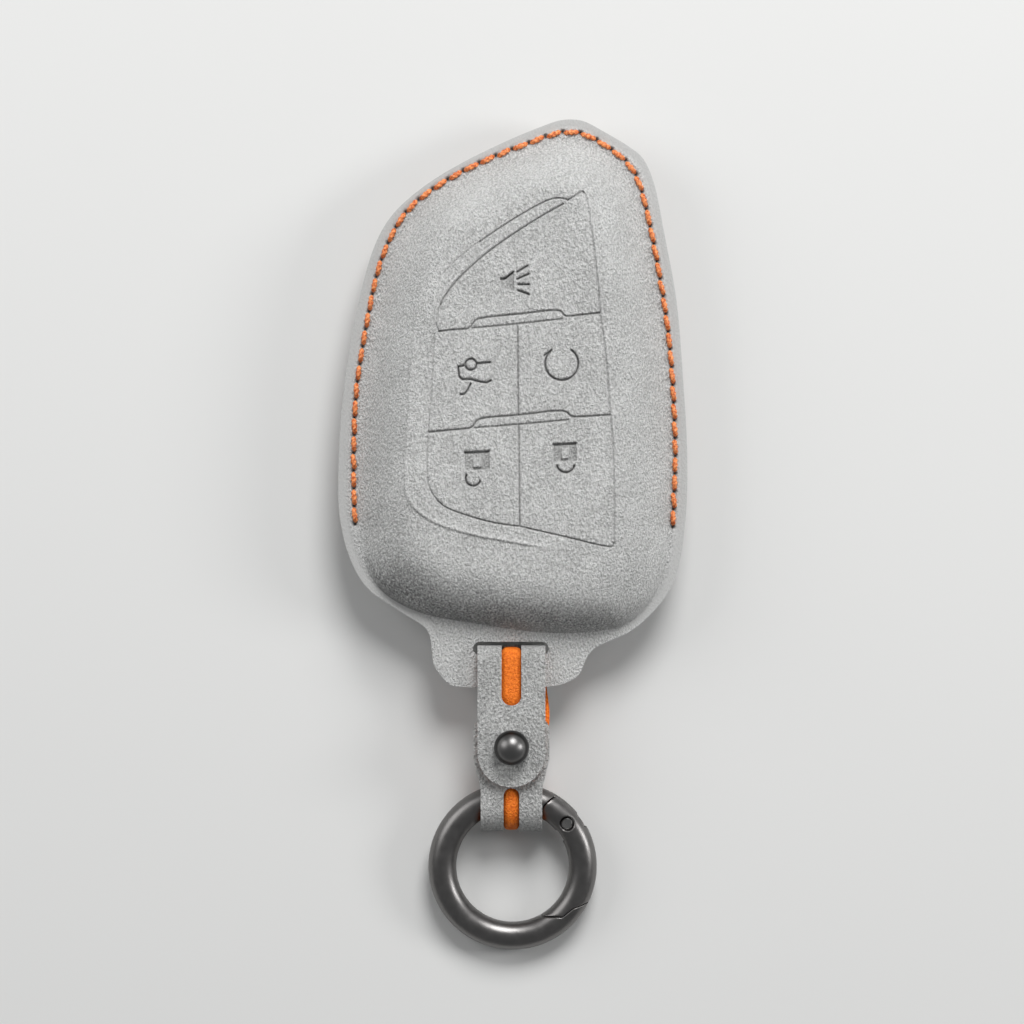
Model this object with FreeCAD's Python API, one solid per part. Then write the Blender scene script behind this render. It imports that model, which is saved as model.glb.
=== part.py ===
import FreeCAD, Part
import math
import os

V = FreeCAD.Vector

# Driving sizes, in millimetres. +Z is away from the table, +Y towards the rounded top of the cover,
# and the origin is in the middle of the flat back that the cover lies on.

# Cover outline
HALF_WIDTH = 31.0
TOP_REACH = 46.3
LEATHER = 1.4
FRONT_RISE = 8.2
BACK_DEPTH = 6.3
FRONT_SLOPE = 10.0
BACK_SLOPE = 8.0
LINING = 0.5
GLUE_GAP = 0.1
OVERRUN = 1.0
SAME_PLACE = 0.000001

# Tab, slot and the bridge of leather below the slot
TAB_FOOT = 54.05
BRIDGE_LENGTH = 5.6
BRIDGE_ROUND = 0.9
SLOT_HEIGHT = 2.4
SLOT_WIDTH = 13.4
SLOT_X = -0.3

# Saddle stitching
STITCH_MARGIN = 2.3
STITCH_PITCH = 3.05
THREAD = 0.8
HOLE_CLEARANCE = 0.1

# Embossed button panel
PANEL_WIDTH = 33.1
PANEL_HEIGHT = 63.0
PANEL_LEFT = -15.2
PANEL_FOOT = -29.3
GROOVE_WIDTH = 0.5
GROOVE_DEPTH = 0.35

# Strap
STRAP_LEATHER = 1.0
STRAP_LINING = 0.6
STRAP_WIDTH = 12.0
STRAP_X = -0.2
STRAP_SLACK = 0.55
FOLD_SLACK = 0.15
FOLD_RADIUS = 1.2
BEND_RADIUS = 3.0
LOOP_BEND_RADIUS = 2.0
LOOP_END_WIDTH = 13.4
LOOP_NECK_WIDTH = 11.0
LOOP_END_DROP = 8.3
LOOP_TAPER_START = 15.5
PINCH_START = 3.9
PINCH_END = 9.0
LOOP_OPENING_START = 16.7
LOOP_SLOPE_RUN = 3.6
LAYER_GAP = 0.05
INLAY_WIDTH = 3.3
LOWER_INLAY_WIDTH = 2.8
LOWER_INLAY_DROP = 20.7
CORNER_ROUND = 2.0

# Flap
FLAP_SEAM_DROP = 3.4
FLAP_LENGTH = 17.05
FLAP_INLAY_REACH = 2.65

# Ball stud
STUD_DROP = 13.4
BALL_RADIUS = 3.1
BALL_HEIGHT = 4.8
BALL_LIFT = 0.1
NECK_RADIUS = 1.6
STUD_FLANGE_RADIUS = 3.5
STUD_FLANGE = 0.7
STUD_HOLE_CLEARANCE = 0.1
SCREW_RADIUS = 1.0
SCREW_REACH = 3.2
SCREW_HEAD_RADIUS = 2.1
SCREW_HEAD = 0.8
SCREW_SLOT_WIDTH = 0.7
SCREW_SLOT_DEPTH = 0.45
THREAD_CLEARANCE = 0.03

# Spring gate ring
RING_RADIUS = 12.5
WIRE_RADIUS = 2.5
RING_PLAY = 0.65
RING_SIT = 22.4
RING_SLACK = 0.3
PIN_ANGLE = 39.5
PIN_RADIUS = 1.0
PIN_CLEARANCE = 0.04
PIN_RECESS_RADIUS = 1.3
PIN_RECESS = 0.35
PIN_LENGTH = 4.5
HINGE_ROUND = 5.1
HINGE_GAP = 0.15
TONGUE = 1.8
TONGUE_CLEARANCE = 0.1
TONGUE_ROUND = 2.2
TONGUE_FLAT = 1.5
FORK_DEPTH = 3.4
NOSE_GAP = 0.12
NOSE_FOOT = 8.75
NOSE_HEEL_X = 8.9
NOSE_HEEL_RISE = 1.5
NOSE_HEEL_RUN = 1.8
NOSE_LIP_RUN = 6.0
NOSE_LIP_RISE = 2.1
SPRING_TURNS = 5
TURN_STEP_SHARE = 0.25
SPRING_COIL_RADIUS = 0.8
SPRING_WIRE_RADIUS = 0.2
SPRING_PITCH = 0.85
SPRING_BORE_RADIUS = 1.1
SPRING_ANGLE = -60.0
SPRING_INSET = 0.9

# Hand chosen shares. Outline points go clockwise from the left shoulder of the tab to the right one.
COVER_SHARES = [
    (-0.490, -0.947), (-0.650, -0.875), (-0.833, -0.786), (-0.931, -0.671), (-0.987, -0.514),
    (-0.994, -0.337), (-0.971, -0.080), (-0.897, 0.245), (-0.784, 0.525), (-0.687, 0.637),
    (-0.547, 0.725), (-0.381, 0.801), (-0.129, 0.890), (0.146, 0.970), (0.284, 1.000),
    (0.397, 0.997), (0.506, 0.961), (0.673, 0.894), (0.742, 0.855), (0.803, 0.767),
    (0.868, 0.559), (0.935, 0.311), (0.971, 0.031), (0.997, -0.283), (0.987, -0.529),
    (0.939, -0.728), (0.879, -0.816), (0.787, -0.890), (0.671, -0.955), (0.552, -0.991),
]
TAB_LEFT_SHARES = [(-0.467, -0.989), (-0.457, -1.073), (-0.398, -1.138)]
TAB_RIGHT_SHARES = [(0.345, -1.136), (0.418, -1.063), (0.458, -1.024)]
TAB_FOOT_LEFT_SHARE = -0.340
TAB_FOOT_RIGHT_SHARE = 0.272
# Foot of the swelling, anticlockwise from the lower left.
SWELL_SHARES = [
    (-0.882, -0.527), (-0.836, -0.705), (-0.742, -0.803), (-0.547, -0.878),
    (-0.215, -0.924), (0.146, -0.957), (0.427, -0.957), (0.650, -0.924),
    (0.810, -0.820), (0.880, -0.690), (0.897, -0.491), (0.890, -0.146),
    (0.856, 0.142), (0.793, 0.437), (0.722, 0.665), (0.655, 0.782),
    (0.540, 0.866), (0.390, 0.918), (0.270, 0.922), (-0.060, 0.843),
    (-0.438, 0.713), (-0.580, 0.625), (-0.678, 0.510), (-0.776, 0.284),
    (-0.833, 0.065), (-0.868, -0.222),
]
# Profile of the swelling from foot to flat: share of the slope's width, share of its height.
SLOPE_SHARES = [(0.0, 0.0), (0.10, 0.24), (0.30, 0.60), (0.60, 0.88), (1.0, 1.0)]
# First and last outline points that are stitched, and the panel's lines.
STITCH_FIRST_SHARE = -0.514
PANEL_EDGE_SHARES = [
    (0.841, 1.0), (0.922, 0.662), (0.981, 0.358), (1.0, 0.003), (0.496, 0.057), (0.188, 0.093),
    (0.038, 0.141), (0.0, 0.217), (0.016, 0.344), (0.038, 0.600), (0.070, 0.682), (0.145, 0.744),
    (0.380, 0.846), (0.723, 0.966), (0.841, 1.0),
]
PANEL_LINE_SHARES = [
    [(0.038, 0.605), (0.922, 0.662)],
    [(0.016, 0.327), (0.973, 0.372)],
    [(0.485, 0.634), (0.491, 0.059)],
]

# Derived levels and places
SPLIT_Z = BACK_DEPTH + LEATHER
FRONT_TOP = SPLIT_Z + LEATHER + FRONT_RISE
BRIDGE_Y = -TAB_FOOT + BRIDGE_LENGTH / 2
SLOT_FOOT_Y = -TAB_FOOT + BRIDGE_LENGTH
PIVOT = V(0, BRIDGE_Y, SPLIT_Z)
FRONT_LINE = LEATHER + STRAP_SLACK + STRAP_LINING
FOLD_LINE = BRIDGE_LENGTH / 2 + FOLD_SLACK + STRAP_LINING
LOOP_LINE = FRONT_LINE - STRAP_LINING - LAYER_GAP - STRAP_LEATHER
LOOP_HALF = WIRE_RADIUS + RING_PLAY
LOOP_MIDDLE = LOOP_LINE - STRAP_LINING - LOOP_HALF
BACK_LOOP_LINE = LOOP_MIDDLE - LOOP_HALF - STRAP_LINING
PINCH_LINE = LOOP_LINE - 2 * STRAP_LINING - STUD_FLANGE
HALF_LOOP_WIDTH = LOOP_NECK_WIDTH / 2 + abs(STRAP_X)
RING_SAG = RING_RADIUS - WIRE_RADIUS - math.sqrt((RING_RADIUS - WIRE_RADIUS) ** 2 - HALF_LOOP_WIDTH ** 2)
LOOP_FOOT = RING_SIT + WIRE_RADIUS + RING_SAG + RING_SLACK + STRAP_LINING
RING_SEAT = V(0, BRIDGE_Y - RING_SIT, SPLIT_Z + LOOP_MIDDLE)
RING_TILT = math.degrees(math.asin((RING_SEAT.z - WIRE_RADIUS) / (2 * RING_RADIUS)))


def scaled(shares):
    """Outline points of the cover from shares of its half width and its top reach."""
    return [V(x * HALF_WIDTH, y * TOP_REACH, 0) for x, y in shares]


def curve(points, closed):
    """Smooth edge through points."""
    spline = Part.BSplineCurve()
    spline.interpolate(Points=points, PeriodicFlag=closed)
    return spline.toShape()


def cover_side():
    """Edge of the cover from one shoulder of the tab, round the top, to the other shoulder."""
    return curve(scaled(COVER_SHARES), False)


def cover_wire():
    """Closed outline of one cover panel with its tab."""
    side = scaled(COVER_SHARES)
    foot_left = V(TAB_FOOT_LEFT_SHARE * HALF_WIDTH, -TAB_FOOT, 0)
    foot_right = V(TAB_FOOT_RIGHT_SHARE * HALF_WIDTH, -TAB_FOOT, 0)
    left = curve([side[0]] + scaled(TAB_LEFT_SHARES) + [foot_left], False)
    right = curve([foot_right] + scaled(TAB_RIGHT_SHARES) + [side[-1]], False)
    foot = Part.LineSegment(foot_left, foot_right).toShape()
    return Part.Wire([cover_side(), right, foot, left])


def swell_wire(inset, level):
    """Closed outline of the swelling at a level, drawn in from its foot all round by an inset."""
    foot = scaled(SWELL_SHARES)
    box = Part.makePolygon(foot).BoundBox
    points = []
    for p in foot:
        off = p - box.Center
        points.append(p - V(off.x * inset * 2 / box.XLength, off.y * inset * 2 / box.YLength, -level))
    return Part.Wire(curve(points, True))


def swelling(base, rise, slope, wall):
    """Solid of the swelling from its base level, up or down by rise, inside by one wall."""
    sign = math.copysign(1, rise)
    height = rise - sign * wall
    rings = [swell_wire(wall, base - sign * OVERRUN)]
    for share, up in SLOPE_SHARES:
        rings.append(swell_wire(wall + share * slope, base + up * height))
    foot = Part.makeLoft(rings[:2], True, True)
    return foot, Part.makeLoft(rings[1:], True, False)


def rounded_slot(width, height, middle, low, high):
    """Upright slot with round ends, for cutting."""
    r = height / 2
    half = width / 2 - r
    mid = Part.makeBox(2 * half, height, high - low, middle + V(-half, -r, low))
    ends = [Part.makeCylinder(r, high - low, middle + V(s * half, 0, low)) for s in (-1, 1)]
    return mid.multiFuse(ends).removeSplitter()


def stitch_places():
    """Places of the stitch holes along the cover's edge, one margin in."""
    edge = cover_side()
    count = int(edge.Length / THREAD * 2)
    track = []
    for p in edge.discretize(count):
        u = edge.Curve.parameter(p)
        t = edge.tangentAt(u)
        q = p + V(t.y, -t.x, 0).normalize() * STITCH_MARGIN
        if p.y > STITCH_FIRST_SHARE * TOP_REACH:
            track.append(q)
    line = curve(track[::4] + [track[-1]], False)
    number = int(line.Length / STITCH_PITCH)
    return line.discretize(number + 1)


def cover_panel(rise, slope, low):
    """One moulded leather panel: flange, tab and swelling, hollow, slotted and punched."""
    up = rise > 0
    flange = Part.Face(cover_wire()).extrude(V(0, 0, LEATHER)).translate(V(0, 0, low))
    outer_level = low + LEATHER if up else low
    inner_level = low if up else low + LEATHER
    panel = flange.fuse(list(swelling(outer_level, rise, slope, 0)))
    reach = rise + math.copysign(LEATHER, rise)
    hollow = swelling(inner_level, reach, slope, LEATHER)
    middle = V(SLOT_X, SLOT_FOOT_Y + SLOT_HEIGHT / 2, 0)
    slot = rounded_slot(SLOT_WIDTH, SLOT_HEIGHT, middle, low - OVERRUN, low + LEATHER + OVERRUN)
    r = THREAD / 2 + GLUE_GAP + HOLE_CLEARANCE
    holes = [Part.makeCylinder(r, LEATHER + 2 * OVERRUN, p + V(0, 0, low - OVERRUN)) for p in stitch_places()]
    return panel.cut(list(hollow) + [slot] + holes)


def round_bridge(panel, level):
    """Rounds the outer edges of the bridge, where the strap bears and rocks."""
    def wanted(e):
        b = e.BoundBox
        flat = b.ZLength < GLUE_GAP and abs(b.ZMin - level) < GLUE_GAP
        low = b.YMax < SLOT_FOOT_Y + GLUE_GAP and b.XLength > BRIDGE_LENGTH
        top = abs(b.YMin - SLOT_FOOT_Y - SLOT_HEIGHT) < GLUE_GAP and b.XLength > BRIDGE_LENGTH
        return flat and (low or top)
    return panel.makeFillet(BRIDGE_ROUND, [e for e in panel.Edges if wanted(e)])


def groove(start, end):
    """Cutter for one straight embossed line on the flat of the swelling."""
    along = end - start
    length = along.Length
    bar = Part.makeBox(length, GROOVE_WIDTH, GROOVE_DEPTH + OVERRUN, V(0, -GROOVE_WIDTH / 2, 0))
    bar.rotate(V(0, 0, 0), V(0, 0, 1), math.degrees(math.atan2(along.y, along.x)))
    return bar.translate(start + V(0, 0, FRONT_TOP - GROOVE_DEPTH))


def embossing():
    """Cutters for the outline of the button panel and the lines between its buttons."""
    cutters = []
    for line in [PANEL_EDGE_SHARES] + PANEL_LINE_SHARES:
        points = [V(PANEL_LEFT + x * PANEL_WIDTH, PANEL_FOOT + y * PANEL_HEIGHT, 0) for x, y in line]
        cutters += [groove(a, b) for a, b in zip(points, points[1:])]
    return cutters


def front_cover():
    panel = round_bridge(cover_panel(FRONT_RISE, FRONT_SLOPE, SPLIT_Z), SPLIT_Z + LEATHER)
    return panel.cut(embossing())


def back_cover():
    return round_bridge(cover_panel(-BACK_DEPTH, BACK_SLOPE, SPLIT_Z - LEATHER), SPLIT_Z - LEATHER)


def lining(level, rise, slope):
    """Thin lining glued inside one swelling."""
    start = LEATHER + GLUE_GAP
    outer = swelling(level, rise, slope, start)[1]
    inner = swelling(level, rise, slope, start + LINING)
    return outer.cut(list(inner))


def thread(level, sign):
    """One thread of the lockstitch: a stitch over each gap, with a leg down each hole."""
    r = THREAD / 2
    rise = V(0, 0, level + sign * (r + LAYER_GAP))
    places = [p + rise for p in stitch_places()]
    top = V(0, 0, sign * (r - GLUE_GAP))
    leg = LEATHER + LAYER_GAP + 2 * (r - GLUE_GAP)
    solids = [Part.makeCylinder(r + GLUE_GAP, leg, p + top, V(0, 0, -sign)) for p in places]
    for a, b in zip(places, places[1:]):
        solids.append(Part.makeCylinder(r, (b - a).Length, a, b - a))
    return solids[0].multiFuse(solids[1:])


def path_edges(points, radii, shift):
    """Edges in the YZ plane along points with rounded corners, shifted to the left by shift."""
    runs = [(b - a).normalize() for a, b in zip(points, points[1:])]
    lefts = [V(0, -d.z, d.y) for d in runs]
    moved = [points[0] + lefts[0] * shift]
    for p, a, b in zip(points[1:-1], lefts, lefts[1:]):
        moved.append(p + (a + b) * (shift / (1 + a.dot(b))))
    moved.append(points[-1] + lefts[-1] * shift)
    edges = []
    at = moved[0]
    for p, a, b, radius in zip(moved[1:-1], runs, runs[1:], radii):
        left_turn = a.cross(b).x > 0
        r = radius - shift if left_turn else radius + shift
        half = a.getAngle(b) / 2
        start = p - a * (r * math.tan(half))
        end = p + b * (r * math.tan(half))
        middle = p + (b - a).normalize() * (r / math.cos(half) - r)
        if (start - at).Length > SAME_PLACE:
            edges.append(Part.LineSegment(at, start).toShape())
        edges.append(Part.Arc(start, middle, end).toShape())
        at = end
    edges.append(Part.LineSegment(at, moved[-1]).toShape())
    return edges


def strip(points, radii, low, high, width):
    """Strip of leather along a path, between two shifts, of one width about the strap's middle."""
    edges = path_edges(points, radii, low) + path_edges(points, radii, high)
    first = len(edges) // 2
    edges.append(Part.LineSegment(edges[0].Vertexes[0].Point, edges[first].Vertexes[0].Point).toShape())
    edges.append(Part.LineSegment(edges[first - 1].Vertexes[1].Point, edges[-2].Vertexes[1].Point).toShape())
    face = Part.Face(Part.Wire(Part.__sortEdges__(edges)))
    return face.translate(V(STRAP_X - width / 2, 0, 0)).extrude(V(width, 0, 0))


def yz(y, z):
    return V(0, y, z)


def prism(points, low, high):
    """Upright prism on a closed outline."""
    wire = Part.makePolygon([V(p.x, p.y, low) for p in points + points[:1]])
    return Part.Face(wire).extrude(V(0, 0, high - low))


def strap_plan(half, neck, low, high):
    """Plan of the strap, drawn in towards the ring."""
    top = FOLD_LINE + STRAP_LEATHER + OVERRUN
    foot = -LOOP_FOOT - STRAP_LEATHER - OVERRUN
    right = [V(half, top, 0), V(half, -LOOP_TAPER_START, 0), V(neck, -LOWER_INLAY_DROP, 0), V(neck, foot, 0)]
    left = [V(-p.x, p.y, 0) for p in reversed(right)]
    return prism([p + V(STRAP_X, 0, 0) for p in right + left], low, high)


def stud_hole(radius):
    """Upright cutter at the stud, through every layer of the strap."""
    foot = BACK_LOOP_LINE - STRAP_LEATHER - OVERRUN
    top = FRONT_LINE + STRAP_LEATHER + OVERRUN
    return Part.makeCylinder(radius, top - foot, V(STRAP_X, -STUD_DROP, foot))


def strap_layer(low, high):
    """One layer of the strap, without the flap, about the middle of the bridge."""
    fold_radius = (LOOP_LINE - BACK_LOOP_LINE) / 2
    fold_start = -LOOP_FOOT + fold_radius
    main = [
        yz(-FLAP_SEAM_DROP, FRONT_LINE), yz(FOLD_LINE, FRONT_LINE), yz(FOLD_LINE, -FRONT_LINE),
        yz(-PINCH_START, -FRONT_LINE), yz(-PINCH_END, PINCH_LINE), yz(-LOOP_OPENING_START, PINCH_LINE),
        yz(-LOOP_OPENING_START - LOOP_SLOPE_RUN, BACK_LOOP_LINE), yz(-LOOP_FOOT, BACK_LOOP_LINE),
        yz(-LOOP_FOOT, LOOP_LINE), yz(fold_start + LAYER_GAP, LOOP_LINE),
    ]
    radii = [FOLD_RADIUS, FOLD_RADIUS, BEND_RADIUS, BEND_RADIUS, LOOP_BEND_RADIUS, LOOP_BEND_RADIUS]
    radii += [fold_radius, fold_radius]
    deep, tall = BACK_LOOP_LINE - 2 * STRAP_LEATHER, FRONT_LINE + 2 * STRAP_LEATHER
    body = strip(main, radii, low, high, LOOP_END_WIDTH)
    body = body.common(strap_plan(STRAP_WIDTH / 2, LOOP_NECK_WIDTH / 2, deep, tall))
    back_hole = stud_hole(SCREW_RADIUS + STUD_HOLE_CLEARANCE)
    body = body.cut(back_hole)
    tongue = [yz(fold_start + LAYER_GAP, LOOP_LINE), yz(-LOOP_END_DROP, LOOP_LINE)]
    end = strip(tongue, [], low, high, LOOP_END_WIDTH)
    end = end.common(strap_plan(LOOP_END_WIDTH / 2, LOOP_NECK_WIDTH / 2, deep, tall))
    corners = [e for e in end.Edges if e.BoundBox.YMin > -LOOP_END_DROP - SAME_PLACE * 2
               and e.BoundBox.ZLength > SAME_PLACE and e.BoundBox.XLength < SAME_PLACE]
    end = end.makeFillet(CORNER_ROUND, corners).cut(stud_hole(NECK_RADIUS + STUD_HOLE_CLEARANCE))
    return body.fuse(end).removeSplitter()


def inlay(width, start, end, low, high):
    """Cutter for a round-ended window in the grey layer, between two drops."""
    r = width / 2
    box = Part.makeBox(width, end - start, high - low, V(STRAP_X - r, -end, low))
    return box.fuse(Part.makeCylinder(r, high - low, V(STRAP_X, -start, low)))


def strap_leather():
    layer = strap_layer(0, STRAP_LEATHER)
    top = FRONT_LINE + STRAP_LEATHER + OVERRUN
    fold = inlay(INLAY_WIDTH, -FOLD_LINE - STRAP_LEATHER, FLAP_SEAM_DROP + OVERRUN, LEATHER, top)
    foot = LOOP_FOOT + STRAP_LEATHER + OVERRUN
    lower = inlay(LOWER_INLAY_WIDTH, LOWER_INLAY_DROP + LOWER_INLAY_WIDTH / 2, foot, LOOP_MIDDLE, top)
    return layer.cut([fold, lower]).translate(PIVOT)


def strap_lining():
    return strap_layer(-STRAP_LINING, 0).translate(PIVOT)


def flap_layer(low, high):
    """One layer of the flap: straight from the seam, with a round end and the button hole."""
    half = STRAP_WIDTH / 2
    straight = FLAP_LENGTH - half
    box = Part.makeBox(STRAP_WIDTH, straight, high - low, V(STRAP_X - half, -FLAP_SEAM_DROP - straight, low))
    end = Part.makeCylinder(half, high - low, V(STRAP_X, -FLAP_SEAM_DROP - straight, low))
    return box.fuse(end).removeSplitter().cut(stud_hole(NECK_RADIUS + STUD_HOLE_CLEARANCE))


def flap_leather():
    low, high = FRONT_LINE, FRONT_LINE + STRAP_LEATHER
    layer = flap_layer(low, high)
    r = INLAY_WIDTH / 2
    end = FLAP_SEAM_DROP + FLAP_INLAY_REACH - r
    window = Part.makeBox(INLAY_WIDTH, end, high - low, V(STRAP_X - r, -end, low))
    tip = Part.makeCylinder(r, high - low, V(STRAP_X, -end, low))
    return layer.cut([window, tip]).translate(PIVOT)


def flap_lining():
    return flap_layer(FRONT_LINE - STRAP_LINING, FRONT_LINE).translate(PIVOT)


def ball_stud():
    """Turned stud: flange inside the loop, neck through two layers, ball above, tapped from below."""
    foot = LOOP_LINE - STRAP_LINING - STUD_FLANGE
    at = V(STRAP_X, -STUD_DROP, 0)
    shoulder = FRONT_LINE + STRAP_LEATHER + BALL_LIFT
    flange = Part.makeCylinder(STUD_FLANGE_RADIUS, STUD_FLANGE, at + V(0, 0, foot))
    neck = Part.makeCylinder(NECK_RADIUS, shoulder + BALL_HEIGHT / 2 - foot, at + V(0, 0, foot))
    ball = Part.makeSphere(BALL_RADIUS, at + V(0, 0, shoulder + BALL_HEIGHT - BALL_RADIUS))
    side = 2 * BALL_RADIUS
    under = Part.makeBox(side, side, BALL_RADIUS, at + V(-BALL_RADIUS, -BALL_RADIUS, shoulder - BALL_RADIUS))
    bore = Part.makeCylinder(SCREW_RADIUS + THREAD_CLEARANCE, SCREW_REACH + GLUE_GAP, at + V(0, 0, foot))
    return flange.multiFuse([neck, ball.cut(under)]).cut(bore).translate(PIVOT)


def stud_screw():
    """Slotted screw from behind that holds the stud and pinches the back of the strap."""
    seat = PINCH_LINE - STRAP_LEATHER
    at = V(STRAP_X, -STUD_DROP, seat)
    head = Part.makeCylinder(SCREW_HEAD_RADIUS, SCREW_HEAD, at + V(0, 0, -SCREW_HEAD))
    rim = [e for e in head.Edges if e.BoundBox.ZMax < seat - SCREW_HEAD / 2]
    head = head.makeFillet(SCREW_HEAD / 2, rim)
    shaft = Part.makeCylinder(SCREW_RADIUS, STRAP_LEATHER + STRAP_LINING + SCREW_REACH, at)
    cut = Part.makeBox(2 * SCREW_HEAD_RADIUS, SCREW_SLOT_WIDTH, SCREW_SLOT_DEPTH)
    cut.translate(at + V(-SCREW_HEAD_RADIUS, -SCREW_SLOT_WIDTH / 2, -SCREW_HEAD))
    return head.fuse(shaft).cut(cut).translate(PIVOT)


def on_ring(angle, radius):
    a = math.radians(angle)
    return V(radius * math.cos(a), radius * math.sin(a), 0)


PIN = on_ring(PIN_ANGLE, RING_RADIUS)
RADIAL = on_ring(PIN_ANGLE, 1)
SPRING_WAY = on_ring(SPRING_ANGLE, 1)
SPRING_SEAT = PIN + SPRING_WAY * TONGUE_FLAT + V(SPRING_WAY.y, -SPRING_WAY.x, 0) * SPRING_INSET
SPRING_LENGTH = SPRING_TURNS * SPRING_PITCH + 2 * SPRING_WIRE_RADIUS


def seated(shape):
    """Hangs a ring piece in the strap's loop, tilted down to the table."""
    shape.translate(RING_SEAT - V(0, RING_RADIUS, 0))
    return shape.rotate(RING_SEAT, V(1, 0, 0), RING_TILT)


def about_pin(radius, height):
    return Part.makeCylinder(radius, height, PIN + V(0, 0, -height / 2))


def gate_zone(gap):
    """Plan of the gate: a round hinge end about the pin and a lapped nose that opens inwards only."""
    far = RING_RADIUS + WIRE_RADIUS + OVERRUN
    heel = V(NOSE_HEEL_X, -NOSE_FOOT - gap, 0)
    lip = heel + V(NOSE_HEEL_RUN, NOSE_HEEL_RISE, 0)
    points = [
        PIN + RADIAL * (WIRE_RADIUS + OVERRUN), V(far + WIRE_RADIUS, 0, 0),
        lip + V(NOSE_LIP_RUN, NOSE_LIP_RISE, 0), lip, heel, V(WIRE_RADIUS, -NOSE_FOOT - gap, 0),
        PIN - RADIAL * (WIRE_RADIUS + OVERRUN),
    ]
    return prism(points, -far, far)


def hinge_side(height):
    """Half space slab on the hinge side of the pin."""
    far = RING_RADIUS
    slab = Part.makeBox(2 * far, far, height, V(-far, 0, -height / 2))
    slab.rotate(V(0, 0, 0), V(0, 0, 1), PIN_ANGLE)
    return slab.translate(PIN)


def ring_body():
    wire = Part.makeTorus(RING_RADIUS, WIRE_RADIUS)
    reach = HINGE_ROUND + HINGE_GAP
    full = 2 * WIRE_RADIUS + OVERRUN
    body = wire.cut([gate_zone(NOSE_GAP), about_pin(reach, full)])
    root = about_pin(reach + OVERRUN, TONGUE).common(hinge_side(TONGUE)).common(wire)
    tongue = root.fuse(about_pin(TONGUE_ROUND, TONGUE))
    stop = Part.makeBox(RING_RADIUS, RING_RADIUS, full, V(TONGUE_FLAT, -RING_RADIUS / 2, -full / 2))
    stop.rotate(V(0, 0, 0), V(0, 0, 1), SPRING_ANGLE)
    tongue = tongue.cut([stop.translate(PIN), about_pin(PIN_RADIUS + PIN_CLEARANCE, full)])
    return seated(body.fuse(tongue).removeSplitter())


def ring_gate():
    wire = Part.makeTorus(RING_RADIUS, WIRE_RADIUS)
    full = 2 * WIRE_RADIUS + OVERRUN
    gate = wire.common(gate_zone(0).fuse(about_pin(HINGE_ROUND, full)))
    room = TONGUE + 2 * TONGUE_CLEARANCE
    fork = about_pin(HINGE_ROUND + OVERRUN, room).common(hinge_side(room)).fuse(about_pin(FORK_DEPTH, room))
    bore = Part.makeCylinder(SPRING_BORE_RADIUS, SPRING_LENGTH + GLUE_GAP, SPRING_SEAT, SPRING_WAY)
    hole = about_pin(PIN_RADIUS + PIN_CLEARANCE, full)
    recess = about_pin(PIN_RECESS_RADIUS, full)
    keep = about_pin(PIN_RECESS_RADIUS + OVERRUN, PIN_LENGTH - 2 * PIN_RECESS)
    return seated(gate.cut([fork, bore, hole, recess.cut(keep)]))


def gate_pin():
    pin = about_pin(PIN_RADIUS, PIN_LENGTH)
    return seated(pin.makeChamfer(PIN_RECESS / 2, [e for e in pin.Edges if e.BoundBox.ZLength < SAME_PLACE]))


def arc_between(start, corner, end):
    """Arc from start to end whose end tangents meet at corner."""
    middle = (start + end) / 2
    half_chord = start.distanceToPoint(middle)
    drop = corner.distanceToPoint(middle)
    rise = half_chord * math.tan(math.atan2(drop, half_chord) / 2)
    return Part.Arc(start, middle + (corner - middle) * (rise / drop), end).toShape()


def spring_point(turns):
    """Point on the spring's wire after so many turns, and the wire's direction there."""
    angle = 2 * math.pi * turns
    around = V(-math.sin(angle), math.cos(angle), 0)
    point = V(math.cos(angle), math.sin(angle), 0) * SPRING_COIL_RADIUS + V(0, 0, SPRING_PITCH * turns)
    way = around * (2 * math.pi * SPRING_COIL_RADIUS) + V(0, 0, SPRING_PITCH)
    return point, way.normalize()


def quarter_turn(turns):
    """Two tangent arcs that follow a quarter turn of the spring."""
    (start, start_way), (end, end_way) = spring_point(turns), spring_point(turns + TURN_STEP_SHARE)
    span, ways = end - start, start_way + end_way
    spread = 4 - ways.dot(ways)
    reach = (math.sqrt(span.dot(ways) ** 2 + spread * span.dot(span)) - span.dot(ways)) / spread
    first, second = start + start_way * reach, end - end_way * reach
    middle = (first + second) / 2
    return [arc_between(start, first, middle), arc_between(middle, second, end)]


def gate_spring():
    """Compression spring in the gate's bore, one tube of round wire."""
    arcs = []
    for quarter in range(round(SPRING_TURNS / TURN_STEP_SHARE)):
        arcs += quarter_turn(quarter * TURN_STEP_SHARE)
    start, way = spring_point(0)
    ring = Part.Wire(Part.Circle(start, way, SPRING_WIRE_RADIUS).toShape())
    spring = Part.Wire(arcs).makePipeShell([ring], True)
    print("spring: least gap between turns", SPRING_PITCH - 2 * SPRING_WIRE_RADIUS, "mm")
    spring.Placement = FreeCAD.Placement(
        SPRING_SEAT + SPRING_WAY * (SPRING_WIRE_RADIUS + GLUE_GAP / 2),
        FreeCAD.Rotation(V(0, 0, 1), SPRING_WAY),
    )
    return seated(spring)


NODES = {
    "front_cover": front_cover,
    "back_cover": back_cover,
    "front_lining": lambda: lining(SPLIT_Z, FRONT_RISE + LEATHER, FRONT_SLOPE),
    "back_lining": lambda: lining(SPLIT_Z, -BACK_DEPTH - LEATHER, BACK_SLOPE),
    "front_thread": lambda: thread(SPLIT_Z + LEATHER, 1),
    "back_thread": lambda: thread(SPLIT_Z - LEATHER, -1),
    "strap_leather": strap_leather,
    "strap_lining": strap_lining,
    "flap_leather": flap_leather,
    "flap_lining": flap_lining,
    "ball_stud": ball_stud,
    "stud_screw": stud_screw,
    "ring_body": ring_body,
    "ring_gate": ring_gate,
    "gate_pin": gate_pin,
    "gate_spring": gate_spring,
}

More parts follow.
